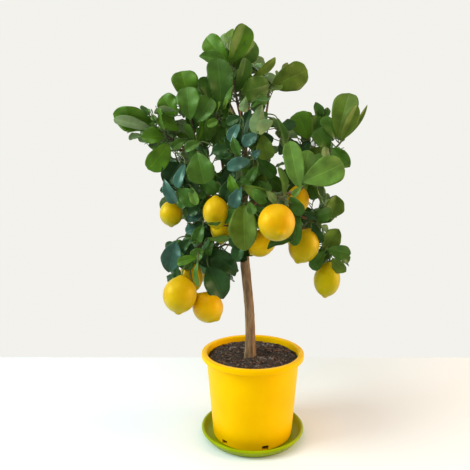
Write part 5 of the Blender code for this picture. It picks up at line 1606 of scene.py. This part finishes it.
def make_bark(limbs):
    """The trunk and boughs as one skin with the bark's relief, each bough's foot running into its parent."""
    heap = Heap()
    path, radii = limbs['trunk']
    fine = smooth_path(path, TRUNK_STEPS)
    points, faces = tube(fine, even(radii, TRUNK_STEPS), TRUNK_ROUND)
    spots = np.array(points).reshape(-1, TRUNK_ROUND, 3)
    for ring, middle in zip(spots, fine):
        height = max(0.0, middle.z - TRUNK_FOOT.z)
        for spot in ring:
            out = Vector((spot[0] - middle.x, spot[1] - middle.y, 0.0))
            lobes = 1.0 + FLARE_LOBE_DEPTH * math.cos(FLARE_LOBES * math.atan2(out.y, out.x))
            flare = FLARE_SKIN * FLARE * lobes * math.exp(-height / FLARE_HEIGHT)
            spot += np.array(out.normalized() * flare)
    spots[0, :, 2] = TRUNK_FOOT.z
    heap.add(rough(spots.reshape(-1, 3), TRUNK_ROUND, TRUNK_RELIEF, TRUNK_GRAIN), faces)
    for name, *_ in BOUGHS:
        path, radii = limbs[name]
        sizes = even(radii, BOUGH_STEPS)
        sizes = [size * (1.0 + FOOT_SWELL * math.exp(-step / FOOT_STEPS)) for step, size in enumerate(sizes)]
        points, faces = tube(smooth_path(path, BOUGH_STEPS), sizes, BOUGH_ROUND)
        heap.add(rough(points, BOUGH_ROUND, BOUGH_RELIEF, BOUGH_GRAIN), faces)
    done(heap.piece('bark', listed_surface('bark_skin')), 'bark', 'trunk', *(row[0] for row in BOUGHS))


def pot_profile():
    """The pot's section, as the solid's, with rounder edges and a step line under its lip."""
    under_lip = POT_TOP_Z - POT_LIP_HEIGHT
    floor = POT_FLOOR_Z + POT_WALL
    inner = POT_FOOT_RADIUS - POT_WALL
    mouth = wall_radius(POT_TOP_Z)
    neck = wall_radius(under_lip)
    lip = POT_LIP_ROUND
    foot = POT_FOOT_ROUND
    inside_mouth = mouth - POT_WALL
    profile = [(inside_mouth - 0.0002, POT_TOP_Z - 0.012), (inside_mouth, POT_TOP_Z - POT_MOUTH_SLOPE)]
    profile += [(inside_mouth + 0.0008, POT_TOP_Z - 0.0012), (mouth - 0.0004, POT_TOP_Z - 0.0001)]
    profile += [(mouth + 0.002, POT_TOP_Z)]
    profile += arc((POT_LIP_RADIUS - lip, POT_TOP_Z - lip), lip, 90.0, 0.0, 10)
    profile += arc((POT_LIP_RADIUS - lip, under_lip + lip), lip, 0.0, -90.0, 8)
    profile += [(neck + POT_LIP_FILLET, under_lip), (neck + 0.0003, under_lip - 0.0004)]
    profile += [(neck, under_lip - POT_LIP_FILLET)]
    profile += [(wall_radius(height), height) for height in (0.160, 0.120, 0.080, 0.040, 0.016)]
    profile += arc((POT_FOOT_RADIUS - foot, POT_FLOOR_Z + foot), foot, 0.0, -90.0, 8)
    profile += [(0.0, POT_FLOOR_Z), (0.0, floor), (inner - POT_WALL, floor), (inner, floor + POT_WALL)]
    return profile + [profile[0]]


def slot_box(index, boxes):
    """One rounded box that cuts a drain slot."""
    shape = bmesh.new()
    bmesh.ops.create_cube(shape, size=1.0)
    wide, deep, tall = POT_SLOT_SIZE
    bmesh.ops.scale(shape, vec=(wide, deep, tall * SLOT_TALL), verts=shape.verts)
    bmesh.ops.bevel(shape, geom=shape.edges[:], offset=POT_SLOT_ROUND, segments=3, profile=0.5,
                    affect='EDGES')
    mesh = bpy.data.meshes.new('slot_box')
    shape.to_mesh(mesh)
    shape.free()
    box = bpy.data.objects.new('slot_box', mesh)
    angle = POT_SLOT_TURN + index * 2.0 * math.pi / POT_SLOTS
    out = wall_radius(POT_SLOT_Z)
    box.location = (out * math.cos(angle), out * math.sin(angle), POT_SLOT_Z + SLOT_LIFT)
    box.rotation_euler = (0.0, 0.0, angle + math.pi / 2.0)
    boxes.objects.link(box)


def make_pot():
    """The pot's smooth moulded wall, cut by the drain slots."""
    heap = Heap()
    heap.add(*lathe(pot_profile(), TURNED_STEPS))
    pot = heap.piece('pot_skin', listed_surface('pot_skin'))
    shape = bmesh.new()
    shape.from_mesh(pot.data)
    bmesh.ops.remove_doubles(shape, verts=shape.verts, dist=MERGE)
    shape.to_mesh(pot.data)
    shape.free()
    boxes = bpy.data.collections.new('slot_boxes')
    bpy.context.scene.collection.children.link(boxes)
    for index in range(POT_SLOTS):
        slot_box(index, boxes)
    cut = pot.modifiers.new('slots', 'BOOLEAN')
    cut.operation = 'DIFFERENCE'
    cut.operand_type = 'COLLECTION'
    cut.collection = boxes
    bpy.context.view_layer.update()
    carved = bpy.data.meshes.new_from_object(pot.evaluated_get(bpy.context.evaluated_depsgraph_get()))
    pot.modifiers.clear()
    pot.data = carved
    carved.set_sharp_from_angle(angle=POT_SHARP)
    for box in list(boxes.objects):
        bpy.data.objects.remove(box)
    bpy.data.collections.remove(boxes)
    done(pot, 'pot_plastic', 'pot')


def make_saucer():
    """The saucer's smooth dish, with a low ring under the pot and a rolled rim."""
    rim = SAUCER_RIM_ROUND
    edge = arc((SAUCER_RADIUS - rim, SAUCER_HEIGHT - rim), rim, 150.0, -60.0, 18)
    heap = Heap()
    heap.add(*lathe([*SAUCER_DISH, *edge, *SAUCER_FOOT], TURNED_STEPS))
    done(heap.piece('saucer_skin', listed_surface('saucer_skin')), 'saucer_plastic', 'saucer')


def crumb(spot):
    """How far the soil's surface stands out at a place."""
    return sum(height * noise.noise(spot * scale) for height, scale in SOIL_CRUMBS)


def add_chips(heap, shares, heights, edge):
    """Chips of bark and grit strewn over the soil, clear of the trunk's foot."""
    rng = random.Random('soil')
    for _ in range(CHIPS):
        out = edge * CHIP_EDGE * math.sqrt(rng.random())
        angle = rng.uniform(0.0, 2.0 * math.pi)
        spot = Vector((out * math.cos(angle), out * math.sin(angle), 0.0))
        if (spot - Vector((TRUNK_FOOT.x, TRUNK_FOOT.y, 0.0))).length < CHIP_CLEAR:
            continue
        size = CHIP_LEAST + CHIP_RANGE * rng.random() ** CHIP_POWER
        spot.z = float(np.interp(out, shares, heights)) + 0.35 * size
        turn = Matrix.Rotation(rng.uniform(0.0, 6.28), 3, 'Z')
        turn = turn @ Matrix.Rotation(rng.uniform(-CHIP_TILT, CHIP_TILT), 3, 'X')
        shape = Vector([size * rng.uniform(*span) for span in CHIP_SPANS])
        corners = []
        for corner in CHIP_CORNERS:
            local = [value * part * rng.uniform(*CHIP_CORNER) for value, part in zip(corner, shape)]
            corners.append(tuple(spot + turn @ Vector(local)))
        heap.add(corners, CHIP_FACES, [rng.choice(CHIP_DEAL)] * len(CHIP_FACES))


def make_soil():
    """The soil: a crumbly surface with chips of bark and grit on it."""
    edge = wall_radius(SOIL_Z + SOIL_HEAP) - POT_WALL - 2.0 * GAP
    outs = [spot[0] for spot in SOIL_TOP] + [edge]
    levels = [spot[1] for spot in SOIL_TOP] + [SOIL_Z - SOIL_EDGE_DROP * 0.5]
    heights = np.interp(np.linspace(0.0, 1.0, SOIL_RINGS + 1) * edge, outs, levels) + SOIL_HEAP
    rings = [edge * ring / SOIL_RINGS for ring in range(SOIL_RINGS + 1)]
    points = []
    for out, height in zip(rings, heights):
        for cosine, sine in circle(SOIL_STEPS):
            spot = Vector((out * cosine, out * sine, 0.0))
            points.append((spot.x, spot.y, height + crumb(spot)))
    heap = Heap()
    heap.add(points, ring_faces(SOIL_RINGS + 1, SOIL_STEPS, True))
    add_chips(heap, rings, heights, edge)
    soil = heap.piece('soil_surface', *(soil_surface(name) for name in SOIL_COLOURS))
    soil.data.set_sharp_from_angle(angle=SOIL_SHARP)
    done(soil, 'soil', 'soil')


def make_sky():
    """The pale sky, less bright behind the camera."""
    world = bpy.data.worlds.new('sky')
    bpy.context.scene.world = world
    world.use_nodes = True
    tree = world.node_tree
    way = add_node(tree, 'TexCoord')
    parts = add_node(tree, 'SeparateXYZ')
    first, last = SKY_FADE
    fade = add_node(tree, 'MapRange', {'From Min': first, 'From Max': last, 'To Min': SKY_FRONT})
    back = tree.nodes['Background']
    back.inputs['Color'].default_value = (*linear(SKY), 1.0)
    join(tree, (way, 'Generated', parts, 'Vector'), (parts, 'Y', fade, 'Value'),
         (fade, 'Result', back, 'Strength'))


def make_stage():
    """The floor, the light and the camera."""
    bpy.ops.mesh.primitive_plane_add(size=FLOOR_SIZE, location=(0.0, FLOOR_BACK - FLOOR_SIZE / 2.0, FLOOR_Z))
    floor = bpy.context.object
    floor.name = 'floor'
    floor.data.materials.append(plain('floor', linear(FLOOR), 0.75)[0])
    make_sky()
    for name, spot, size, power, colour in LIGHTS:
        lamp = bpy.data.lights.new(name, 'AREA')
        lamp.size = size
        lamp.energy = power
        lamp.color = colour
        made = bpy.data.objects.new(name, lamp)
        made.location = spot
        made.rotation_euler = (LIGHTS_AIM - Vector(spot)).to_track_quat('-Z', 'Y').to_euler()
        bpy.context.scene.collection.objects.link(made)
    lens = bpy.data.cameras.new('view')
    lens.lens = CAMERA_LENS
    lens.sensor_width = CAMERA_LENS
    camera = bpy.data.objects.new('view', lens)
    camera.location = CAMERA_SPOT
    camera.rotation_euler = (math.pi / 2.0 - CAMERA_PITCH, 0.0, 0.0)
    bpy.context.scene.collection.objects.link(camera)
    bpy.context.scene.camera = camera
    bpy.context.scene.view_settings.view_transform = 'Standard'


all_limbs = limb_paths()
whole_crown = grow_crown(all_limbs)
hand_leaves = [set_leaf(row) for row in SET_LEAVES]
front_view = Front(hand_leaves)
every_leaf = hand_leaves + keep_grown(whole_crown, hand_leaves, front_view)
finer_leaves, finer_twigs = grow_finer(all_limbs, whole_crown, every_leaf, front_view)
every_leaf += finer_leaves
make_leaves(every_leaf)
make_twigs(all_limbs, whole_crown, every_leaf, finer_twigs, front_view)
make_fruit()
make_bark(all_limbs)
make_pot()
make_saucer()
make_soil()
make_stage()
